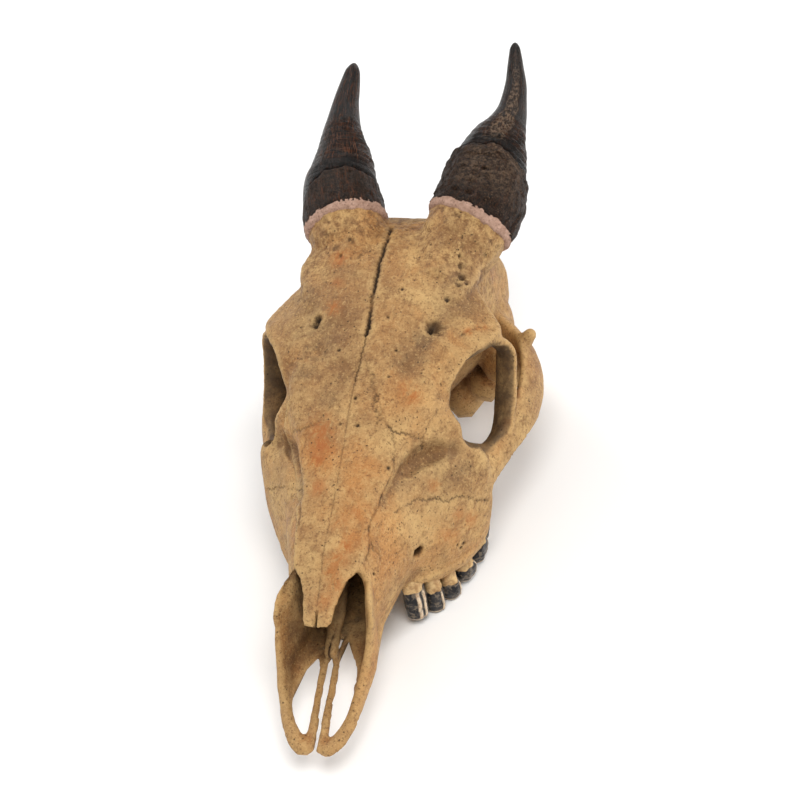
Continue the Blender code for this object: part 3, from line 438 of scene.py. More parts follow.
# Rods and round hollows: rows of a point and a radius
EAR_TUBE = ((18, 168, 22, 6), (25, 171, 24, 4.6), (30.5, 173.5, 26, 4))
BRAIN_WAY = ((0, 168, 44, 7.4), (0, 184, 36, 7.4), (0, 206, 29, 7.4))
CHEEK_HOLE = ((14, 77.5, 31.2, 1.6), (20.4, 69.6, 31.2, 2.1), (27, 61.2, 31.6, 2.4))
ORBIT_HOLLOWS = (
    ((30, 118, 52.6), (15.5, 15.5, 15.5)),
    ((30, 112, 42), (7, 9, 8)),
    ((33.5, 103.5, 50.5), (4.6, 4.6, 4.6)),
)
# Notch between the tips of the nasal bones, as a bar
NASAL_NOTCH = ((-0.1, 24, 41, 1.1, 5), (-0.1, 27.5, 41.4, 0.75, 5), (0, 31.5, 42.6, 0.35, 5))
# Rougher bone: point, reach
ROUGH_PATCHES = ((26, 138, 80.5, 11), (-25, 136, 80, 11), (-19, 112, 75, 12), (32, 96, 42, 9))

# Section of the filler: distance along the horn, and distance out from its radius
COLLAR_SECTION = (
    (-0.9, -3), (-0.7, -0.9), (-0.4, -0.3), (0.1, 0.1), (0.7, 0.25), (1.2, 0.3), (1.8, 0.35), (2.3, 0.3),
    (2.7, 0.1), (3, -0.3), (3.1, -1.2), (3.1, -3), (1.2, -3.6),
)
# Tooth: height of its root, then heights above the neck, parts of the neck's height, heights at the edge
# and in the worn face, each with its size against the widest part of the crown
ROOT_TOP = 18.9
TOOTH_NECK_WALL = ((4.5, 0.78), (1.8, 0.88), (0.6, 0.9), (-0.4, 0.98))
TOOTH_CROWN_WALL = ((0.72, 1.03), (0.5, 1.04), (0.32, 1.01))
TOOTH_EDGE_WALL = ((1.3, 0.96), (0.6, 0.93), (0.15, 0.87))
WORN_FACE = (
    (0, 0.8), (0.5, 0.72), (1.1, 0.62), (1.2, 0.5), (0.7, 0.4), (0.4, 0.32), (1, 0.22), (1.5, 0.12),
    (1.6, 0.02)
)

# The horns: side, path, how rusty, marks, and the seed of their filler's lumps. The marks are the
# distance of the crack, its fall to the outer and inner side, the angle of the front, where the growth
# rings begin and end, how rough the lower part is, and how tan the horn is
HORNS = (
    ("left", LEFT_HORN, 0.3, (23.3, 6.5, 3, -1.25, 22, 36, 0.85, 1), 3),
    ("right", RIGHT_HORN, 0.8, (15.4, 3.6, 9.5, -1.35, 15, 36, 0.3, 0), 17),
)


def drift(y):
    """How far the midline of the skull lies to the side at a station."""
    for (y0, x0), (y1, x1) in zip(MIDLINE, MIDLINE[1:]):
        if y <= y1:
            t = max(0.0, (y - y0) / (y1 - y0))
            return x0 + (x1 - x0) * t * t * (3 - 2 * t)
    return MIDLINE[-1][1]


def spot(point):
    """A point measured on the standing skull, in metres."""
    return Vector(((point[0] - ORIGIN_X) * MM, (point[1] - ORIGIN_Y) * MM, point[2] * MM))


def place(point):
    """A point measured from the skull's midline, in metres."""
    x, y, z = point
    return spot((x + drift(y), y, z))


def mirrored(point, side):
    return (point[0] * side, point[1], point[2])


def new_object(name, data):
    obj = bpy.data.objects.new(name, data)
    bpy.context.scene.collection.objects.link(obj)
    return obj


@contextmanager
def opened(mesh):
    """The mesh in the form that bmesh edits, written back when the block ends."""
    bm = bmesh.new()
    bm.from_mesh(mesh)
    yield bm
    bm.to_mesh(mesh)
    bm.free()


def evaluated(obj):
    """A new mesh of what the object's modifiers or its curve make."""
    bpy.context.view_layer.update()
    return bpy.data.meshes.new_from_object(obj.evaluated_get(bpy.context.evaluated_depsgraph_get()))


def curve_through(rows, steps):
    """Catmull-Rom points through rows of numbers, with steps points to each span."""
    found = []
    for i in range(len(rows) - 1):
        four = (rows[max(i - 1, 0)], rows[i], rows[i + 1], rows[min(i + 2, len(rows) - 1)])
        for t in (k / steps for k in range(steps)):
            found.append(
                tuple(
                    b + 0.5 * t * (c - a + t * (2 * a - 5 * b + 4 * c - d + t * (3 * b - a - 3 * c + d)))
                    for a, b, c, d in zip(*four)
                )
            )
    return found + [tuple(rows[-1])]


def curve_round(rows, steps):
    """The same for a closed loop."""
    found = []
    for i in range(len(rows)):
        four = [rows[(i + k) % len(rows)] for k in (-1, 0, 1, 2)]
        found += curve_through(four, steps)[steps : 2 * steps]
    return found


def tube(name, points, around, closed=False):
    """A skin over rings of points that follow one another, with flat ends or joined end to end."""
    count = len(points) // around
    faces = []
    for i in range(count if closed else count - 1):
        ring, after = i * around, (i + 1) % count * around
        for k in range(around):
            j = (k + 1) % around
            faces.append((ring + k, ring + j, after + j, after + k))
    if not closed:
        faces += [tuple(range(around))[::-1], tuple(range((count - 1) * around, count * around))]
    mesh = bpy.data.meshes.new(name)
    mesh.from_pydata([tuple(point) for point in points], [], faces)
    with opened(mesh) as bm:
        bmesh.ops.recalc_face_normals(bm, faces=bm.faces)
    return new_object(name, mesh)


def loft(rings, closed=False):
    """A solid through rings of points in millimetres."""
    return tube("form", [place(point) for ring in rings for point in ring], len(rings[0]), closed)


def outline_loft(sections):
    """A body that is the same on both sides of the midline, from half outlines at stations along it."""
    rings = []
    for y, *flat in curve_through([(y, *sum(outline, ())) for y, outline in sections], 4):
        half = curve_through(list(zip(flat[::2], flat[1::2])), 4)
        rings.append([(x, y, z) for x, z in half] + [(-x, y, z) for x, z in half[-2:0:-1]])
    return loft(rings)


def bar(rows, way, side=1, closed=False):
    """A bar with oval sections. Each row is a point and two half sizes, the first of them along way."""
    rows = (curve_round if closed else curve_through)(rows, 4)
    points = [Vector(mirrored(row, side)) for row in rows]
    way = Vector(mirrored(way, side))
    turns = [2 * math.pi * k / BAR_SIDES for k in range(BAR_SIDES)]
    rings = []
    for i, (centre, (*_, wide, thin)) in enumerate(zip(points, rows)):
        before = points[i - 1] if i or closed else centre
        after = points[(i + 1) % len(points)] if closed or i + 1 < len(points) else centre
        along = (after - before).normalized()
        across = (way - along * way.dot(along)).normalized()
        beside = along.cross(across)
        rings.append([centre + across * wide * math.cos(a) + beside * thin * math.sin(a) for a in turns])
    return loft(rings, closed)


def ball(centre, radii, side=1, tilt=(0, 0, 0)):
    """An ellipsoid. tilt is in degrees round X, Y and Z."""
    mesh = bpy.data.meshes.new("ball")
    with opened(mesh) as bm:
        bmesh.ops.create_uvsphere(bm, u_segments=24, v_segments=14, radius=1)
        bm.transform(Matrix.Diagonal((*[r * MM for r in radii], 1)))
    obj = new_object("ball", mesh)
    obj.location = place(mirrored(centre, side))
    obj.rotation_euler = [math.radians(turn * way) for turn, way in zip(tilt, (1, side, side))]
    return obj


def rod(rows, side=1):
    """A round bar that tapers, as a bevelled curve turned into a mesh. Each row is a point and a radius."""
    rows = curve_through(rows, 4)
    data = bpy.data.curves.new("rod", "CURVE")
    data.dimensions = "3D"
    data.bevel_depth = MM
    data.bevel_resolution = 4
    data.use_fill_caps = True
    spline = data.splines.new("POLY")
    spline.points.add(len(rows) - 1)
    for point, (*at, radius) in zip(spline.points, rows):
        point.co = (*place(mirrored(at, side)), 1)
        point.radius = radius
    curve = new_object("rod", data)
    mesh = evaluated(curve)
    bpy.data.objects.remove(curve)
    with opened(mesh) as bm:
        bmesh.ops.remove_doubles(bm, verts=bm.verts, dist=0.01 * MM)
        bmesh.ops.recalc_face_normals(bm, faces=bm.faces)
    return new_object("rod", mesh)


def baked(obj):
    """Applies what the object's modifiers make to its own mesh."""
    mesh = evaluated(obj)
    obj.modifiers.clear()
    obj.data = mesh
    return obj


def joined(name, forms):
    """One object that holds all the forms' meshes."""
    bpy.context.view_layer.update()
    whole = bpy.data.meshes.new(name)
    with opened(whole) as bm:
        for form in forms:
            mesh = form.data.copy()
            mesh.transform(form.matrix_world)
            bm.from_mesh(mesh)
            bpy.data.objects.remove(form)
    return new_object(name, whole)


def fused(obj, voxel, rounds):
    """Makes overlapping forms one skin of even cells, and smooths where they meet."""
    skin = obj.modifiers.new("Remesh", "REMESH")
    skin.mode = "VOXEL"
    skin.voxel_size = voxel * MM
    skin.adaptivity = 0.0
    smooth = obj.modifiers.new("Smooth", "SMOOTH")
    smooth.factor = 0.5
    smooth.iterations = rounds
    return baked(obj)


def cut(obj, hollows):
    """Takes forms out of an object, one after another."""
    for hollow in hollows:
        modifier = obj.modifiers.new("Cut", "BOOLEAN")
        modifier.operation = "DIFFERENCE"
        modifier.object = hollow
        baked(obj)
        bpy.data.objects.remove(hollow)
    return obj


def wing(side):
    """The roof over one orbit, thin at its edge."""
    rings = []
    for y, x, z, top in curve_through(ORBIT_ROOF, 3):
        middle = (top + z) / 2
        over = ((10, top - 0.5), (0.55 * x + 4.5, middle + 2.2), (x + 0.6, z + 0.6))
        under = ((x + 0.2, z - 1.6), (0.6 * x + 4.0, middle - 2.2), (10, top - 7))
        rings.append([(px * side, y, pz) for px, pz in over + under])
    return loft(rings)


def nasal_form():
    """The two nasal bones as one arched plate that stands out over the nose opening."""
    rings = []
    for y, half, ridge in curve_through(NASAL_ROOF, 3):
        top = [(half * k / 4, ridge - 1.6 * (k / 4) ** 2 * half / 11) for k in range(4, -5, -1)]
        under = [(x * 0.96, z - NASAL_THICKNESS) for x, z in top[::-1]]
        rings.append([(x, y, z) for x, z in top + under])
    return loft(rings)


def side_forms(side):
    """Everything of one side that stands out from the closed head."""
    axis = Vector(ORBIT_AXIS)
    rim = [(*(Vector(edge) - axis * deep * 0.9), deep, thick) for *edge, deep, thick in ORBIT_RIM]
    forms = [wing(side), bar(rim, ORBIT_AXIS, side, closed=True), rod(EAR_TUBE, side)]
    forms += [bar(rows, way, side) for rows, way in SIDE_BARS]
    return forms + [ball(centre, radii, side, tilt) for centre, radii, tilt in SIDE_BALLS]


def horn_frame(path):
    """Middle of a horn's foot and the way that the horn leaves the bone there."""
    base = Vector(path[0][:3])
    return base, (Vector(path[1][:3]) - base).normalized()


def pedicle(path):
    """The bone that rises from the forehead to a horn."""
    base, way = horn_frame(path)
    rows = [(base.x * 0.72, base.y - 24, base.z - 5.5, 8)]
    for far, thinner in ((-10, 1.9), (-4, 0.8), (2, 0.4)):
        rows.append((*(base + way * far), path[0][3] - thinner))
    return rod(rows)


def bone_shape():
    """The skull bone as one skin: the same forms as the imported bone, on a finer grid."""
    hollows = [outline_loft(NOSE_SECTIONS)]
    for side in (1, -1):
        hollows += [ball(centre, radii, side) for centre, radii in ORBIT_HOLLOWS] + [rod(CHEEK_HOLLOW, side)]
    forms = [cut(outline_loft(HEAD_SECTIONS), hollows + [rod(BRAIN_WAY)]), nasal_form()]
    forms += side_forms(1) + side_forms(-1) + [pedicle(LEFT_HORN), pedicle(RIGHT_HORN)]
    slab = [(x - drift(y), y, z, wide) for x, y, z, wide in VOMER]
    forms.append(bar([(*row, thick) for row, thick in zip(slab, (1.9, 1.9, 2))], (1, 0, 0)))
    for side, heights in ((1, (1.2, 1.5, 2.4)), (-1, (0.9, 1, 1.4))):
        sizes = zip(slab, heights, (0.75, 0.8, 0.9))
        rows = [(x + side * wide, y + 0.8, z + 0.5, tall, thin) for (x, y, z, wide), tall, thin in sizes]
        forms.append(bar(rows, (0, 0, 1)))
    bone = fused(joined("skull_bone", forms), FIRST_VOXEL, 0)
    holes = [ball((0, 192, 30.5), (7.8, 14, 8.6)), ball((0, 128, 23), (6.6, 13, 8.5))]
    holes += [rod(CHEEK_HOLE, 1), rod(CHEEK_HOLE, -1), bar(SHELF_GAP, (1, 0, 0))]
    holes.append(ball((32, 102, 47.5), (4.2, 4, 6), -1))
    bone = fused(cut(bone, holes), BONE_VOXEL, BONE_ROUNDS)
    pinholes = [(x - drift(y), y, radius) for x, y, radius in PALATE_HOLES]
    pinholes = [rod(((x, y, 6, radius), (x, y, 24, radius))) for x, y, radius in pinholes]
    return cut(bone, [bar(NASAL_NOTCH, (1, 0, 0)), *pinholes])


def read(items, key, wide=3, kind=np.float32):
    """What the items of a mesh hold under a key, as rows of numbers."""
    rows = np.empty(len(items) * wide, dtype=kind)
    items.foreach_get(key, rows)
    return rows.reshape(-1, wide).astype(np.float64 if kind is np.float32 else kind)


def places_of(mesh):
    return read(mesh.vertices, "co") / MM


def set_places(mesh, places):
    mesh.vertices.foreach_set("co", (places * MM).astype(np.float32).ravel())
    mesh.update()


def facing_of(mesh):
    return read(mesh.vertex_normals, "vector")


def tree_of(mesh):
    return BVHTree.FromPolygons([v.co for v in mesh.vertices], [tuple(p.vertices) for p in mesh.polygons])


def add_numbers(mesh, name, values):
    """Keeps one number for each vertex, for the materials to read."""
    layer = mesh.attributes.new(name, "FLOAT", "POINT")
    layer.data.foreach_set("value", np.clip(values, 0, 1).astype(np.float32))


def lattice(cells, seed):
    """A fixed number between 0 and 1 for each whole-numbered cell."""
    mixed = cells[0] * 73856093 ^ cells[1] * 19349663 ^ cells[2] * 83492791 ^ seed * 2654435
    mixed = (mixed ^ (mixed >> 13)) * 1274126177 & 0xFFFFFFFF
    mixed = (mixed ^ (mixed >> 16)) * 668265263 & 0xFFFFFFFF
    return ((mixed >> 8) & 0xFFFF) / 65535.0


def noise(points, size, seed):
    """Smooth noise between 0 and 1. size is how many millimetres one lump takes."""
    scaled = points / size
    cell = np.floor(scaled).astype(np.int64)
    part = scaled - cell
    part = part * part * (3 - 2 * part)
    total = 0.0
    for corner in range(8):
        step = [(corner >> k) & 1 for k in range(3)]
        weight = 1.0
        for k in range(3):
            weight = weight * (part[:, k] if step[k] else 1 - part[:, k])
        total = total + weight * lattice([cell[:, k] + step[k] for k in range(3)], seed)
    return total


def layered(points, size, seed, layers=3):
    """Noise round zero with finer noise on it."""
    return sum((noise(points, size / 2**k, seed + 7 * k) - 0.5) / 1.7**k for k in range(layers))


def ramp(values, low, high):
    part = np.clip((values - low) / (high - low), 0, 1)
    return part * part * (3 - 2 * part)


def bell(values):
    return np.exp(-(values**2))


def away(places, point):
    return np.linalg.norm(places - np.array(point), axis=1)


def neighbour_mean(rows, edges, rounds):
    """Rows averaged with their neighbours along the mesh's edges, again and again."""
    count = np.bincount(edges.ravel(), minlength=len(rows)).clip(1)[:, None]
    for _ in range(rounds):
        total = np.zeros_like(rows)
        for k in range(rows.shape[1]):
            for here, there in (edges.T, edges.T[::-1]):
                total[:, k] += np.bincount(here, weights=rows[there, k], minlength=len(rows))
        rows = 0.3 * rows + 0.7 * total / count
    return rows


def wandering(points, amount, tree, seed):
    """A seam's line through its points, with small steps to the sides, laid on the surface."""
    rows = [Vector(row) for row in curve_through(points, 40)]
    line = []
    length = 0.0
    for i, row in enumerate(rows):
        before = rows[max(i - 1, 0)]
        length += (row - before).length
        hit, normal, _, _ = tree.find_nearest(spot(row))
        across = normal.cross(rows[min(i + 1, len(rows) - 1)] - before).normalized()
        swing = math.sin(length * 2.9 + seed) * 0.55 + math.sin(length * 6.7 + 1.7 * seed) * 0.45
        swing += 0.6 * math.sin(length * 0.9 + seed * 2.3)
        line.append((hit + across * swing * amount * MM) / MM)
    return line


def mirrored_seam(points):
    """The same seam on the other side, about the drifting midline."""
    return [(2 * drift(y) - x, y, z) for x, y, z in points]


def distances(places, line, reach):
    """How far each place is from a line of points, up to reach, and which of its points is the nearest."""
    tree = KDTree(len(line))
    for i, point in enumerate(line):
        tree.insert(point, i)
    tree.balance()
    found = np.full(len(places), FAR_OFF)
    nearest = np.zeros(len(places), dtype=int)
    points = np.array([tuple(p) for p in line])
    near = np.all((places > points.min(0) - reach) & (places < points.max(0) + reach), axis=1)
    for i in np.nonzero(near)[0]:
        _, nearest[i], found[i] = tree.find(places[i])
    return found, nearest


def finer_near(mesh, lines, reach):
    """Splits the faces near some lines of points into smaller ones."""
    places = places_of(mesh)
    close = np.zeros(len(places), dtype=bool)
    for line in lines:
        close |= distances(places, line, reach + 1)[0] < reach
    with opened(mesh) as bm:
        bm.verts.ensure_lookup_table()
        edges = [e for e in bm.edges if close[e.verts[0].index] and close[e.verts[1].index]]
        bmesh.ops.subdivide_edges(bm, edges=edges, cuts=1, use_grid_fill=True)
        bmesh.ops.triangulate(bm, faces=[f for f in bm.faces if len(f.verts) > 4])


def thinner_below(bone):
    """Fewer faces where the bone faces down, so that the rest can be finer."""
    group = bone.vertex_groups.new(name="below")
    level = np.round(ramp(facing_of(bone.data)[:, 2], 0.05, -0.35) * 4).astype(int)
    for k in range(1, 5):
        group.add(np.nonzero(level == k)[0].tolist(), k / 4, "REPLACE")
    thin = bone.modifiers.new("Thin", "DECIMATE")
    thin.ratio = KEPT_FACES
    thin.vertex_group = group.name
    baked(bone)
    bone.vertex_groups.clear()


def shelter(mesh):
    """How much of the open side of each vertex is closed in: by bone close by, and by bone farther off."""
    places = read(mesh.vertices, "co")
    facing = facing_of(mesh)
    tree = tree_of(mesh)
    helper = np.where(np.abs(facing[:, 2:3]) < 0.9, (0.0, 0.0, 1.0), (1.0, 0.0, 0.0))
    first = np.cross(facing, helper)
    first /= np.linalg.norm(first, axis=1).clip(1e-9)[:, None]
    second = np.cross(facing, first)
    starts = (places + facing * 0.3 * MM).tolist()
    closed = np.zeros((len(places), 2))
    for k in range(SHELTER_RAYS):
        out = math.sqrt((k + 0.5) / SHELTER_RAYS)
        turn = 2.4 * k
        ways = facing * math.sqrt(1 - out * out) + (first * math.cos(turn) + second * math.sin(turn)) * out
        for i, (start, way) in enumerate(zip(starts, ways.tolist())):
            distance = tree.ray_cast(start, way, SHELTER_REACH * MM)[3]
            if distance is not None:
                closed[i] += (math.exp(-distance / (4 * MM)), 1)
    return neighbour_mean(closed / SHELTER_RAYS, edges_of(mesh), 3).T


def edges_of(mesh):
    return read(mesh.edges, "vertices", 2, np.int32)


def shift_bars(mesh):
    """Moves the bars at the tip of the upper jaw to the side by what each of them stands off."""
    places = places_of(mesh)
    back = places[:, 1] + ORIGIN_Y
    stations = np.arange(0, 60.5, 0.5)
    off = places[:, 0] + ORIGIN_X - np.interp(back, stations, [drift(y) for y in stations])
    low = ramp(places[:, 2] - (0.395 * back + 25), 0.0, -3.0)
    for side, inner, outer in BAR_SHIFTS:
        part = ramp(off * side, 6.5, 9.0)
        shift = (1 - part) * np.interp(back, *zip(*inner)) + part * np.interp(back, *zip(*outer))
        places[:, 0] += np.where((off * side > 0) & (back < 50), shift * low, 0)
    set_places(mesh, places)


def dress(piece, look, node):
    """Gives a finished piece its material and smooth shading, joins it to the root body, and hides the
    imported node that it stands in for.
    """
    piece.data.materials.clear()
    piece.data.materials.append(look)
    for face in piece.data.polygons:
        face.use_smooth = True
    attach(piece, "root")
    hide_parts(node)


def bone_piece(look):
    """The bone with its seams, holes, grooves and worn surface."""
    bone = bone_shape()
    thinner_below(bone)
    mesh = bone.data
    shift_bars(mesh)
    tree = tree_of(mesh)
    seams = list(SEAMS)
    for k in TWIN_SEAMS:
        points, depth, width, wander, dark = SEAMS[k]
        seams.append((mirrored_seam(points), depth * 0.8, width, wander, dark * 0.6))
    lines = [wandering(points, wander, tree, 3 * i) for i, (points, _, _, wander, _) in enumerate(seams)]
    pits = [tree.find_nearest(spot(pit))[0] / MM for pit in PITS]
    for fine, reach in ((lines, 1.3), (lines[: len(SEAMS)], 0.65)):
        finer_near(mesh, fine + [[pit] for pit in pits], reach)
    places = places_of(mesh)
    skull = places + (ORIGIN_X, ORIGIN_Y, 0)

    # Uneven surface, rougher round the horns and on the sides of the forehead
    feet = [away(skull, (x + drift(y), y, z)) for x, y, z, _ in (LEFT_HORN[0], RIGHT_HORN[0])]
    rough = np.maximum(ramp(np.minimum(*feet), 34, 17), 0.25 * ramp(skull[:, 2], 62, 72))
    for *at, reach in ROUGH_PATCHES:
        rough = np.maximum(rough, 0.9 * bell(away(skull, at) / reach))
    move = 0.30 * layered(places, 8.0, 11)
    move += (0.08 + 0.22 * rough) * layered(places, 2.4, 23)
    move += (0.05 + 0.14 * rough) * layered(places, 1.1, 37, 2)
    pitted = ramp(noise(places, 1.5, 41), 0.72, 0.90) * rough
    small_pits = ramp(noise(places, 1.3, 57), 0.83, 0.94) * 0.6
    move -= 0.24 * pitted + 0.20 * small_pits

    # Seams, holes, grooves and the drop beside the edge of the right side of the face
    seam_dark_and_pit_shade = np.zeros(len(places))
    dirt_and_shade = np.zeros(len(places))
    broken = 0.35 + 0.65 * ramp(noise(places, 2.6, 71), 0.25, 0.55)
    for line, (_, depth, width, _, dark) in zip(lines, seams):
        far, _ = distances(places, line, 3)
        move -= depth * bell(far / width) * (0.6 + 0.4 * broken) - 0.08 * bell((far - 1.5) / 0.7)
        seam_dark_and_pit_shade = np.maximum(seam_dark_and_pit_shade, dark * broken * bell(far / (width * 1.05)))
    torn = 1 + 0.75 * layered(places, 1.1, 83, 2)
    # The holes and pits are painted dark as the shade inside them
    for centre, (_, _, _, radius, depth, dark) in zip(pits, PITS):
        bowl = np.exp(-((away(places, centre) / radius * torn) ** 4))
        move -= depth * bowl
        seam_dark_and_pit_shade = np.maximum(seam_dark_and_pit_shade, dark * bowl)
    # The grooves are painted darker for grime and shade
    for points, width, depth, dark in (*GROOVES, (mirrored_seam(CHEEK_GROOVE), *GROOVES[-1][1:])):
        far, _ = distances(places, [spot(p) / MM for p in curve_through(points, 20)], 3 * width)
        valley = bell(far / width)
        move -= depth * valley
        dirt_and_shade = np.maximum(dirt_and_shade, dark * valley**0.7)
    # The crest of the ledge rises and gets a painted highlight; the drop behind it gets painted shade
    line = [spot(p) / MM for p in curve_through(LEDGE, 12)]
    far, nearest = distances(places, line, 14)
    aside = (places - np.array([tuple(p) for p in line])[nearest]) @ LEDGE_WAY
    drop = np.where(aside > 0, 1 - bell(aside / 0.8), 0) * bell(far / 6.0)
    ledge_crest_and_highlight = bell(far / 0.7)
    move += 0.35 * ledge_crest_and_highlight - LEDGE_DROP * drop
    dirt_and_shade = np.maximum(dirt_and_shade, 0.5 * drop * bell(far / 2.5))
    places = np.clip(places + facing_of(mesh) * move[:, None], BOX_LOW + 0.01, BOX_HIGH - 0.01)
    set_places(mesh, places)

    # Numbers that the material reads
    facing = facing_of(mesh)
    soft = neighbour_mean(places, edges_of(mesh), 4)
    softer = neighbour_mean(soft, edges_of(mesh), 22)
    bulge, broad = (np.einsum("ij,ij->i", places - even, facing) for even in (soft, softer))
    # Dark seams, and the painted shade of holes and pits
    add_numbers(mesh, "seam", seam_dark_and_pit_shade)
    # Painted shade in hollows and a painted highlight on ridges, from how far each vertex lies below or above
    # its smoothed neighbours
    add_numbers(mesh, "hollow", ramp(-bulge, 0.02, 0.20) * 0.6 + ramp(-broad, 0.08, 0.9) * 0.8)
    add_numbers(mesh, "ridge", ramp(bulge, 0.02, 0.16) * 0.6 + ramp(broad, 0.20, 1.0) * 0.7)
    add_numbers(mesh, "pitted", np.maximum(pitted, small_pits * 0.7))
    add_numbers(mesh, "rough", rough)
    clean = np.zeros(len(places))
    # The greyish numbers also take the grime and painted shade of the grooves and the painted shade of the
    # drop; the paler ones the painted highlight along the ledge
    for name, spots, total in (
        ("rust", RUST_SPOTS, clean), ("grey_dirt_and_shade", GREY_SPOTS, dirt_and_shade), ("pale_and_ledge_highlight", PALE_SPOTS, ledge_crest_and_highlight),
        ("brown", BROWN_SPOTS, clean), ("orange", ORANGE_SPOTS, clean),
    ):
        for *at, reach, strength in spots:
            total = np.maximum(total, strength * bell(away(skull, at) / reach))
        add_numbers(mesh, name, total)
    # Painted shade on the inner walls of the orbits, on faces turned to their middle; it goes into the deep
    # number
    wall = clean
    for side in (1, -1):
        inward = np.array((30 * side + drift(116), 116, 54)) - skull
        far = np.linalg.norm(inward, axis=1)
        turned = np.einsum("ij,ij->i", inward, facing) / far
        wall = np.maximum(wall, ramp(turned, 0.10, 0.55) * ramp(far, 25, 19.5))
    # Painted shade: the more other bone closes a vertex in, close by and farther off, the darker it is
    # painted, less so at the back and the front
    near, far = shelter(mesh)
    behind = ramp(skull[:, 1], 138, 146)
    front = ramp(skull[:, 1], 57, 48)
    add_numbers(mesh, "near", ramp(near, 0.06, 0.42) * (1 - 0.45 * behind - 0.45 * front))
    add_numbers(mesh, "deep", np.maximum(ramp(far, 0.30, 0.95) * (1 - 0.65 * behind), wall))
    dress(bone, look, "cranium")


def swept(rows, around):
    """The angle of each point of rings, and the rows of numbers that belong to the rings, for each point."""
    angle = np.tile(np.linspace(0, 2 * math.pi, around, endpoint=False), len(rows))
    return angle, *(np.repeat(np.array(part), around, axis=0) for part in zip(*rows))


def wound(angle, wide, far):
    """Points on a drum, for noise that closes round it."""
    return np.stack([np.cos(angle) * wide, np.sin(angle) * wide, far], axis=1)


def horn_rings(path):
    """Rings along a horn from its foot to its blunt tip: centre, the ways across, radius and distance."""
    base, way = horn_frame(path)
    across = way.cross(Vector((0, 0, 1))).normalized()
    rows = curve_through(path, HORN_STEPS)
    kept = [(base + way * (COLLAR_LENGTH - 1.2), way, path[0][3])]
    for i, row in enumerate(rows):
        centre = Vector(row[:3])
        if (centre - base).dot(way) >= COLLAR_LENGTH + 1.0:
            before, after = rows[max(i - 1, 0)], rows[min(i + 1, len(rows) - 1)]
            kept.append((centre, (Vector(after[:3]) - Vector(before[:3])).normalized(), row[3]))
    end, _, last = kept[-1]
    far = 0.0
    found = []
    for i, (centre, along, radius) in enumerate(kept):
        left = (end - centre).length / (TIP_ROUND * last)
        if left < 1:
            centre = centre + along * TIP_BEYOND * (1 - left) ** 2
            radius = max(radius * math.sqrt(1 - (1 - left) ** 2), 0.02)
        if i:
            far += (centre - before).length
        before = centre
        first = (across - along * across.dot(along)).normalized()
        found.append((place(centre), first, along.cross(first), radius, far))
    return found


def horn_piece(name, path, look, node, marks):
    """A horn sheath with its growth rings, its crack and the rough lower part."""
    top, fall_out, fall_in, front, ring_low, ring_high, rough, tan = marks
    angle, centre, first, second, radius, far = swept(horn_rings(path), HORN_AROUND)
    spots = wound(angle, 11, far)
    fine = wound(angle, 26.4, far * 0.35)
    stripes = wound(angle, 3, far * 3.1)

    # The crack falls away to both sides of the horn's front
    turn = (angle - front + math.pi) % (2 * math.pi) - math.pi
    wave = 0.55 * np.sin(5 * turn + 0.4) + 0.35 * np.sin(11 * turn + 1) + 0.2 * np.sin(23 * turn + 2)
    line = top - np.where(turn > 0, fall_out, fall_in) * (1 - np.cos(turn)) + wave
    below = ramp(line - far, -0.25, 0.30)
    gap = bell((far - line) / 0.42)
    band = np.exp(-(((far - line - 2.6) / 2.4) ** 4))

    ringed = ramp(far, ring_low - 2, ring_low + 2) * ramp(far, ring_high + 5, ring_high - 3)
    ringed = ringed * (0.20 + 0.80 * ramp(np.cos(turn - 0.5), 0.0, 0.8))
    rings = 0.5 * np.sin(far * 2.55 + 4.8 * layered(spots, 9.0, 3)) + 1.3 * (noise(stripes, 2.0, 15) - 0.5)
    move = 0.60 * below - 0.20 - 0.80 * gap + 0.44 * ringed * rings
    move += below * (0.40 * layered(fine, 2.2, 5) + rough * layered(spots, 2.6, 9))
    move -= below * rough * 0.60 * ramp(noise(spots, 1.8, 33), 0.62, 0.82)
    move += 0.30 * band * (noise(stripes * (1, 1, 1.7), 2.0, 47) - 0.5)
    move += 0.10 * layered(fine, 4.0, 61) + 0.25 * layered(spots, 12.0, 19)
    patch = tan * ramp(np.cos(turn - 0.05 + 0.22 * layered(spots, 5.0, 29)), 0.90, 0.975)
    patch = patch * (1 - below) * ramp(far - line, 1.0, 7.0) * ramp(far, 66, 44)
    low_patch = (rough - 0.25) * below * ramp(np.cos(turn - 0.2), 0.45, 0.9) * ramp(far, 3.0, 11.0)

    spread = radius + move * np.minimum(1.0, radius / 3.0)
    out = first * (np.cos(angle) * spread)[:, None] + second * (np.sin(angle) * spread)[:, None]
    horn = tube(name, np.clip(centre / MM + out, BOX_LOW - 0.5, BOX_HIGH + 0.5) * MM, HORN_AROUND)
    for key, values in (
        ("lower", below), ("tan", np.maximum(patch, low_patch)), ("crack", gap), ("ringed", ringed),
        ("band", band * (1 - below)),
    ):
        add_numbers(horn.data, key, values)
    layer = horn.data.attributes.new("fibre", "FLOAT_VECTOR", "POINT")
    layer.data.foreach_set("vector", wound(angle, 12, far).astype(np.float32).ravel())
    dress(horn, look, node)


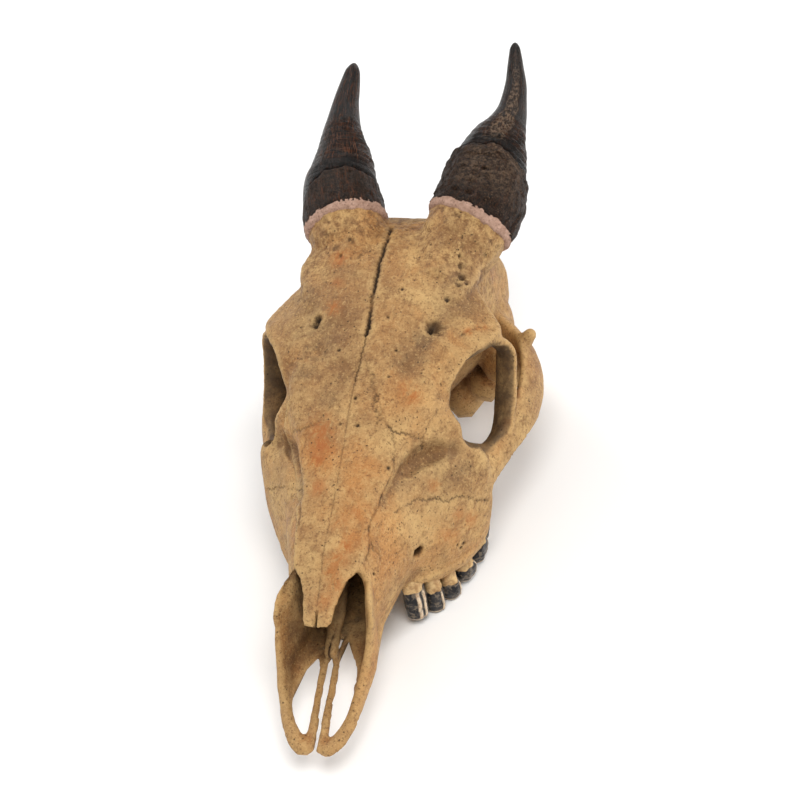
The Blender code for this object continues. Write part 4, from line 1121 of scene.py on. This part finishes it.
def collar_piece(name, path, look, node, seed):
    """The ring of coarse filler at the foot of a horn, with ragged edges."""
    base, way = horn_frame(path)
    across = way.cross(Vector((0, 0, 1))).normalized()
    radius = path[0][3]
    angle, far, out = swept(curve_round(COLLAR_SECTION, 4), COLLAR_AROUND)
    circle = wound(angle, radius, far + seed)
    grain = 0.35 * layered(circle, 2.6, seed) + 0.45 * (noise(circle, 0.8, seed + 5) - 0.5)
    ragged = layered(circle * (1, 1, 0) + (0, 0, seed), 3.4, seed + 9, 4) * ramp(np.abs(far - 1.2), 0.3, 1.9)
    along = far + np.where(far > 1.2, 1.1, -0.8) * ragged
    spread = radius + out + grain * ramp(out, -2.0, 0.0)
    points = np.array(place(base)) / MM + np.outer(along, way)
    points += np.outer(np.cos(angle) * spread, across) + np.outer(np.sin(angle) * spread, way.cross(across))
    dress(tube(name, points * MM, COLLAR_AROUND, closed=True), look, node)


def tooth_piece(row, marks, side, look, node):
    """One cheek tooth: neck with two nubs, crown with ribs of enamel, and worn face with a raised edge."""
    x, y, half_length, half_width, turn, pinch, lift = row
    neck_at, ribs_at, rise, aside = marks
    spin = -math.radians(turn) * side
    seed = int(x * 10 + y)
    wall = [(ROOT_TOP, 0.66), *((neck_at + above, scale) for above, scale in TOOTH_NECK_WALL)]
    wall += [*((neck_at * part, scale) for part, scale in TOOTH_CROWN_WALL), *TOOTH_EDGE_WALL]
    angle, level, scale = swept(curve_through(wall, 5) + curve_through(WORN_FACE, 3), TOOTH_AROUND)
    back = np.sin(angle)
    outer = ramp(np.cos(angle), -0.1, 0.5)
    crown = ramp(level, neck_at + 0.6, neck_at - 1.2)
    bent = back - 0.03 * np.sin(level * 0.9 + seed)
    ribs = sum(tall * bell((bent - at) / broad) for at, tall, broad in ribs_at) * outer
    nubs = 0.13 * ramp(level, neck_at + 3.2, neck_at + 1.2) * (1 - crown) * np.cos(back * 5.2) * outer
    waist = 1 - pinch * bell(back / 0.38) * (0.4 + 0.6 * crown)
    grow = 1 + ribs * crown + nubs - 0.03 * crown
    across = half_width * scale * np.cos(angle) * waist * grow
    along = half_length * scale * back * grow**0.4
    circle = np.stack([across, along, level], axis=1)
    lumps = 0.30 * layered(circle + seed, 2.2, seed)
    across *= 1 + lumps / half_width
    along *= 1 + lumps / half_length
    up = level + (lift + rise) * ramp(level, 9.0, 2.0)
    up += 0.5 * scale * layered(circle * (1, 1, 0), 2.6, seed + 5, 2) * ramp(level, 4, 1)
    centre = place(((x + aside) * side, y, 0)) / MM
    px = across * math.cos(spin) - along * math.sin(spin) + centre.x
    py = across * math.sin(spin) + along * math.cos(spin) + centre.y
    piece = tube("tooth_" + node, np.stack([px, py, np.maximum(up, 0.0)], axis=1) * MM, TOOTH_AROUND)
    rim = 0.8 * bell((level - 0.3) / 0.5) * (scale > 0.7)
    worn = ramp(layered(circle * (1, 1, 0.5), 1.8, seed + 3, 2), -0.55, -0.05)
    add_numbers(piece.data, "enamel", np.maximum(rim, ramp(ribs, 0.03, 0.08) * crown * worn))
    edge = level + 1.3 * layered(circle, 2.4, seed + 8, 2)
    add_numbers(piece.data, "neck", ramp(edge, neck_at - 0.3, neck_at + 0.5))
    dress(piece, look, node)


class Nodes:
    """Builds one procedural material. colour is what has been laid so far."""

    def __init__(self, name, specular=None):
        self.material = bpy.data.materials.new(name)
        self.material.use_nodes = True
        self.tree = self.material.node_tree
        self.shader = self.tree.nodes["Principled BSDF"]
        if specular:
            self.feed(self.shader, {"Specular IOR Level": specular})
        self.place = self.add("TexCoord", "Object", {})

    def feed(self, node, inputs):
        """Sets inputs to numbers or colours, or joins them to other nodes' outputs."""
        for key, value in inputs.items():
            if isinstance(value, bpy.types.NodeSocket):
                self.tree.links.new(value, node.inputs[key])
            elif isinstance(value, tuple):
                node.inputs[key].default_value[:3] = value
            else:
                node.inputs[key].default_value = value

    def add(self, kind, output, inputs, **settings):
        node = self.tree.nodes.new("ShaderNode" + kind)
        for key, value in settings.items():
            setattr(node, key, value)
        self.feed(node, inputs)
        return node.outputs[output]

    def number(self, name):
        return self.add("Attribute", "Fac", {}, attribute_name=name)

    def noise(self, scale, detail=4, rough=0.55, twist=0.0, stretch=None, at=None):
        """Noise at the object's places, or at other ones, drawn out along axes where stretch is below 1."""
        at = at or self.place
        if stretch:
            at = self.add("Mapping", "Vector", {"Vector": at, "Scale": stretch})
        inputs = {"Vector": at, "Scale": scale, "Detail": detail, "Roughness": rough, "Distortion": twist}
        return self.add("TexNoise", "Fac", inputs)

    def between(self, source, low, high, to_low=0.0, to_high=1.0):
        inputs = {"From Min": low, "From Max": high, "To Min": to_low, "To Max": to_high}
        inputs["Value"] = self.times(source)
        return self.add("MapRange", "Result", inputs, interpolation_type="SMOOTHSTEP")

    def math(self, kind, first, second):
        return self.add("Math", "Value", {0: first, 1: second}, operation=kind)

    def times(self, *factors):
        """A product of outputs and numbers. A name is a mesh's number, and a tuple is what between takes."""
        product = None
        for factor in factors:
            if isinstance(factor, str):
                factor = self.number(factor)
            elif isinstance(factor, tuple):
                factor = self.between(*factor)
            product = factor if product is None else self.math("MULTIPLY", product, factor)
        return product

    def total(self, *terms):
        """A sum of such products."""
        first, *others = [self.times(*term) for term in terms]
        for term in others:
            first = self.math("ADD", first, term)
        return first

    def mix(self, amount, first, second):
        return self.add("Mix", 2, {0: self.times(amount), 6: first, 7: second}, data_type="RGBA")

    def lay(self, *layers):
        """Lays colours over what is there, each as far as the product of its amounts."""
        for colour, *amounts in layers:
            self.colour = self.mix(self.times(*amounts), self.colour, colour)

    def finish(self, roughness, height=None, distance=0.0, strength=1.0):
        self.feed(self.shader, {"Base Color": self.colour, "Roughness": roughness})
        if height:
            bump = self.add("Bump", "Normal", {"Height": height, "Distance": distance, "Strength": strength})
            self.feed(self.shader, {"Normal": bump})
        return self.material


def bone_look():
    m = Nodes("bone", 0.28)
    mottle = m.noise(90, 5, 0.65)
    blotch = m.noise(34, 4, 0.6, 0.6)
    patchy = m.noise(190, 5, 0.7, 0.4)
    streak = m.noise(430, 5, 0.72, 0, (1, 0.45, 1))
    grain = m.noise(750, 4, 0.78)
    speck = m.noise(1500, 3, 0.75)
    flow = m.noise(330, 6, 0.8, 1.2, (1, 0.55, 1))
    cells = m.add("TexVoronoi", "Distance", {"Scale": 620, "Vector": m.place})
    pores = m.times((cells, 0.20, 0.10), (m.noise(150, 3), 0.48, 0.62))
    m.colour = m.mix((mottle, 0.36, 0.67, 0.05, 0.92), BONE_MID, BONE_PALE)
    m.lay(
        (BONE_ORANGE, (blotch, 0.46, 0.68, 0, 0.50)),
        (BONE_BROWN, (patchy, 0.48, 0.66, 0, 0.40)),
        (BONE_PALE, (patchy, 0.45, 0.30, 0, 0.36)),
        # paler patches, and the painted highlight along the ledge of the right side of the face
        (BONE_PALE, "pale_and_ledge_highlight", (grain, 0.28, 0.58)),
        (BONE_ORANGE, "orange", (patchy, 0.34, 0.60, 0.25, 1.0), 0.80),
        (BONE_BROWN, "brown", (patchy, 0.30, 0.60, 0.65, 1.2)),
        (BONE_BROWN, (streak, 0.50, 0.66, 0, 0.50)),
        (BONE_PALE, (streak, 0.46, 0.32, 0, 0.35)),
        (BONE_BROWN, "rough", (m.noise(420, 5, 0.75), 0.46, 0.62, 0, 0.85)),
        # greyish grime, and painted shade in the grooves, on the drop and inside the nose
        (BONE_GREY, "grey_dirt_and_shade", (m.noise(280, 5, 0.75), 0.30, 0.52), 0.74),
        # painted shade in hollows and a painted highlight on ridges
        (BONE_BROWN, "hollow", 0.60),
        (BONE_PALE, "ridge", 0.45),
        # painted shade where bone close by closes the surface in
        (BONE_DIRT_AND_SHADE, "near", (grain, 0.30, 0.58, 0.60, 1.0), 0.78),
        (BONE_BROWN, (grain, 0.52, 0.66, 0, 0.62)),
        (BONE_PALE, (grain, 0.46, 0.33, 0, 0.46)),
        (BONE_DIRT_AND_SHADE, (speck, 0.56, 0.69, 0, 0.55)),
        (BONE_PALE, (speck, 0.43, 0.31, 0, 0.45)),
        # painted shade where bone farther off closes the surface in, and on the inner walls of the orbits
        (BONE_DIRT_AND_SHADE, "deep", (patchy, 0.30, 0.60, 0.65, 1.0), 0.88),
        (BONE_ORANGE, "rust", (flow, 0.36, 0.54), 0.85),
        (BONE_RUST, "rust", (flow, 0.44, 0.55), 0.72),
        (BONE_DARK, pores, 0.7),
        (BONE_DARK, "pitted", 0.38),
        # dark seams, and painted shade in holes and pits
        (BONE_DARK, "seam"),
    )
    height = m.total((grain,), (streak, 0.8), (pores, -1.2))
    return m.finish(m.between(mottle, 0.3, 0.7, 0.5, 0.72), height, 0.00045)


def horn_look(name, rust_amount):
    m = Nodes(name, 0.22)
    fibre = m.add("Attribute", "Vector", {}, attribute_name="fibre")
    long_lines = m.noise(2.0, 5, 0.68, 0, (1, 1, 0.10), fibre)
    fine_lines = m.noise(7.5, 4, 0.75, 0, (1, 1, 0.22), fibre)
    cross = m.noise(1.9, 4, 0.70, 0, (0.12, 0.12, 1.6), fibre)
    broken = m.noise(3.4, 4, 0.75, 0, (0.5, 0.5, 1), fibre)
    streaks = m.noise(4.0, 3, 0.7, 0, (0.3, 0.3, 1.4), fibre)
    clumps = m.noise(0.42, 4, 0.7, 0, (1, 1, 1.6), fibre)
    blotch = m.noise(0.25, 4, 0.6, at=fibre)
    crumbs = m.noise(0.9, 6, 0.85, at=fibre)
    m.colour = m.mix((fine_lines, 0.44, 0.62), HORN_BLACK, HORN_BROWN)
    m.lay(
        (HORN_TAN, (broken, 0.54, 0.68), 0.55),
        (HORN_BLACK, (m.noise(0.7, 4, 0.7, at=fibre), 0.50, 0.66, 0, 0.55)),
    )
    upper = m.mix((long_lines, 0.46, 0.72), HORN_BLACK, HORN_BROWN)
    m.colour = m.mix("lower", upper, m.colour)
    patch = m.times("tan", (clumps, 0.42, 0.53, 0.15, 1.0), (crumbs, 0.46, 0.53))
    m.lay(
        (HORN_RUST, (long_lines, 0.50, 0.62), (blotch, 0.40, 0.58), rust_amount),
        (HORN_RUST, "ringed", (cross, 0.50, 0.60), 0.38),
        (HORN_TAN, "ringed", (streaks, 0.60, 0.72), 0.55),
        (HORN_BLACK, "band", 0.85),
        (HORN_TAN, patch, (fine_lines, 0.35, 0.60, 0.55, 1.0)),
        (HORN_CRACK, "crack"),
        (HORN_TAN, (m.noise(3.2, 2, 0.6, at=fibre), 0.68, 0.76), 0.6),
    )
    lines = ((fine_lines, 0.8), (long_lines, 0.6), (cross, "ringed", 1.2), (broken, "lower", 2), (patch, 0.5))
    rough = m.total((("lower", 0, 1, 0.22, 0.45),), (patch, 0.25))
    return m.finish(rough, m.total(*lines), 0.00075)


def filler_look():
    m = Nodes("filler")
    grain = m.noise(1300, 4, 0.8)
    lumps = m.noise(330, 4, 0.65)
    m.colour = m.mix((lumps, 0.38, 0.62), (0.62, 0.39, 0.29), (0.50, 0.30, 0.215))
    m.lay(
        ((0.24, 0.13, 0.09), (grain, 0.52, 0.64, 0, 0.75)),
        ((0.72, 0.50, 0.40), (grain, 0.44, 0.34, 0, 0.5)),
        ((0.34, 0.21, 0.14), (m.noise(80, 3), 0.54, 0.70, 0, 0.5)),
    )
    return m.finish(0.9, m.total((grain,), (lumps,)), 0.0010)


def tooth_look():
    m = Nodes("tooth", 0.22)
    streak = m.noise(340, 5, 0.7, 0, (1, 1, 0.45))
    blot = m.noise(650, 4, 0.75)
    cream = m.mix((blot, 0.45, 0.65), TOOTH_CREAM, (0.46, 0.29, 0.16))
    neck = m.mix((m.noise(380, 4, 0.7), 0.38, 0.62), TOOTH_NECK, (0.40, 0.23, 0.10))
    edge = m.total(("neck",), (m.math("SUBTRACT", m.noise(460, 3), 0.5), 0.9))
    m.colour = m.mix((streak, 0.42, 0.66), TOOTH_BLACK, (0.050, 0.044, 0.042))
    m.lay(
        ((0.230, 0.180, 0.125), (blot, 0.50, 0.60, 0, 0.60)),
        (cream, "enamel", (m.noise(330, 4, 0.75), 0.32, 0.48)),
        (neck, (edge, 0.35, 0.65)),
    )
    return m.finish(m.between("neck", 0, 1, 0.30, 0.55), blot, 0.0002, 0.8)


def floor_look():
    m = Nodes("floor")
    m.colour = m.mix((m.noise(3.0, 2), 0.3, 0.7), (0.93, 0.93, 0.93), (0.95, 0.95, 0.95))
    return m.finish(0.9)


def light(name, spot_at, target, power, colour=(1, 1, 1)):
    data = bpy.data.lights.new(name, "AREA")
    data.shape = "DISK"
    data.size = 0.5
    data.energy = power
    data.color = colour
    lamp = new_object(name, data)
    lamp.location = spot_at
    lamp.rotation_euler = (Vector(target) - Vector(spot_at)).to_track_quat("-Z", "Y").to_euler()


def studio():
    """Pale floor, soft light and the camera."""
    scene = bpy.context.scene
    bpy.ops.mesh.primitive_plane_add(size=6.0, location=(0, 0, 0))
    floor = bpy.context.object
    floor.name = "floor"
    floor.data.materials.append(floor_look())
    scene.world = bpy.data.worlds.new("white_room")
    scene.view_settings.view_transform = "Standard"
    scene.world.use_nodes = True
    background = scene.world.node_tree.nodes["Background"].inputs
    background["Color"].default_value = (1, 1, 1, 1)
    background["Strength"].default_value = 0.58
    light("key", (0.25, -0.45, 0.95), (0, 0, 0.04), 6.1, (1.0, 0.98, 0.95))
    light("rim_left", (-0.75, 0.55, 0.60), (0, 0, 0.06), 4.2)
    light("rim_right", (0.85, 0.55, 0.45), (0, 0, 0.06), 4.5)
    data = bpy.data.cameras.new("camera")
    data.lens = CAMERA_LENS
    data.sensor_width = 36
    data.clip_start = 0.05
    data.clip_end = 20
    scene.camera = new_object("camera", data)
    turn = Matrix(CAMERA_WAYS).transposed().to_4x4()
    scene.camera.matrix_world = Matrix.Translation(spot(CAMERA_SPOT)) @ turn


def main():
    studio()
    bone_piece(bone_look())
    for side, path, rust, marks, _ in HORNS:
        horn_piece("horn_" + side, path, horn_look("horn_" + side, rust), "horn_sheath_" + side, marks)
    filler = filler_look()
    for side, path, _, _, seed in HORNS:
        collar_piece("collar_" + side, path, filler, "filler_collar_" + side, seed)
    enamel = tooth_look()
    for side_name, side in (("left", 1), ("right", -1)):
        for (name, *row), marks in zip(TEETH, TOOTH_MARKS):
            tooth_piece(row, marks, side, enamel, name + "_" + side_name)


main()
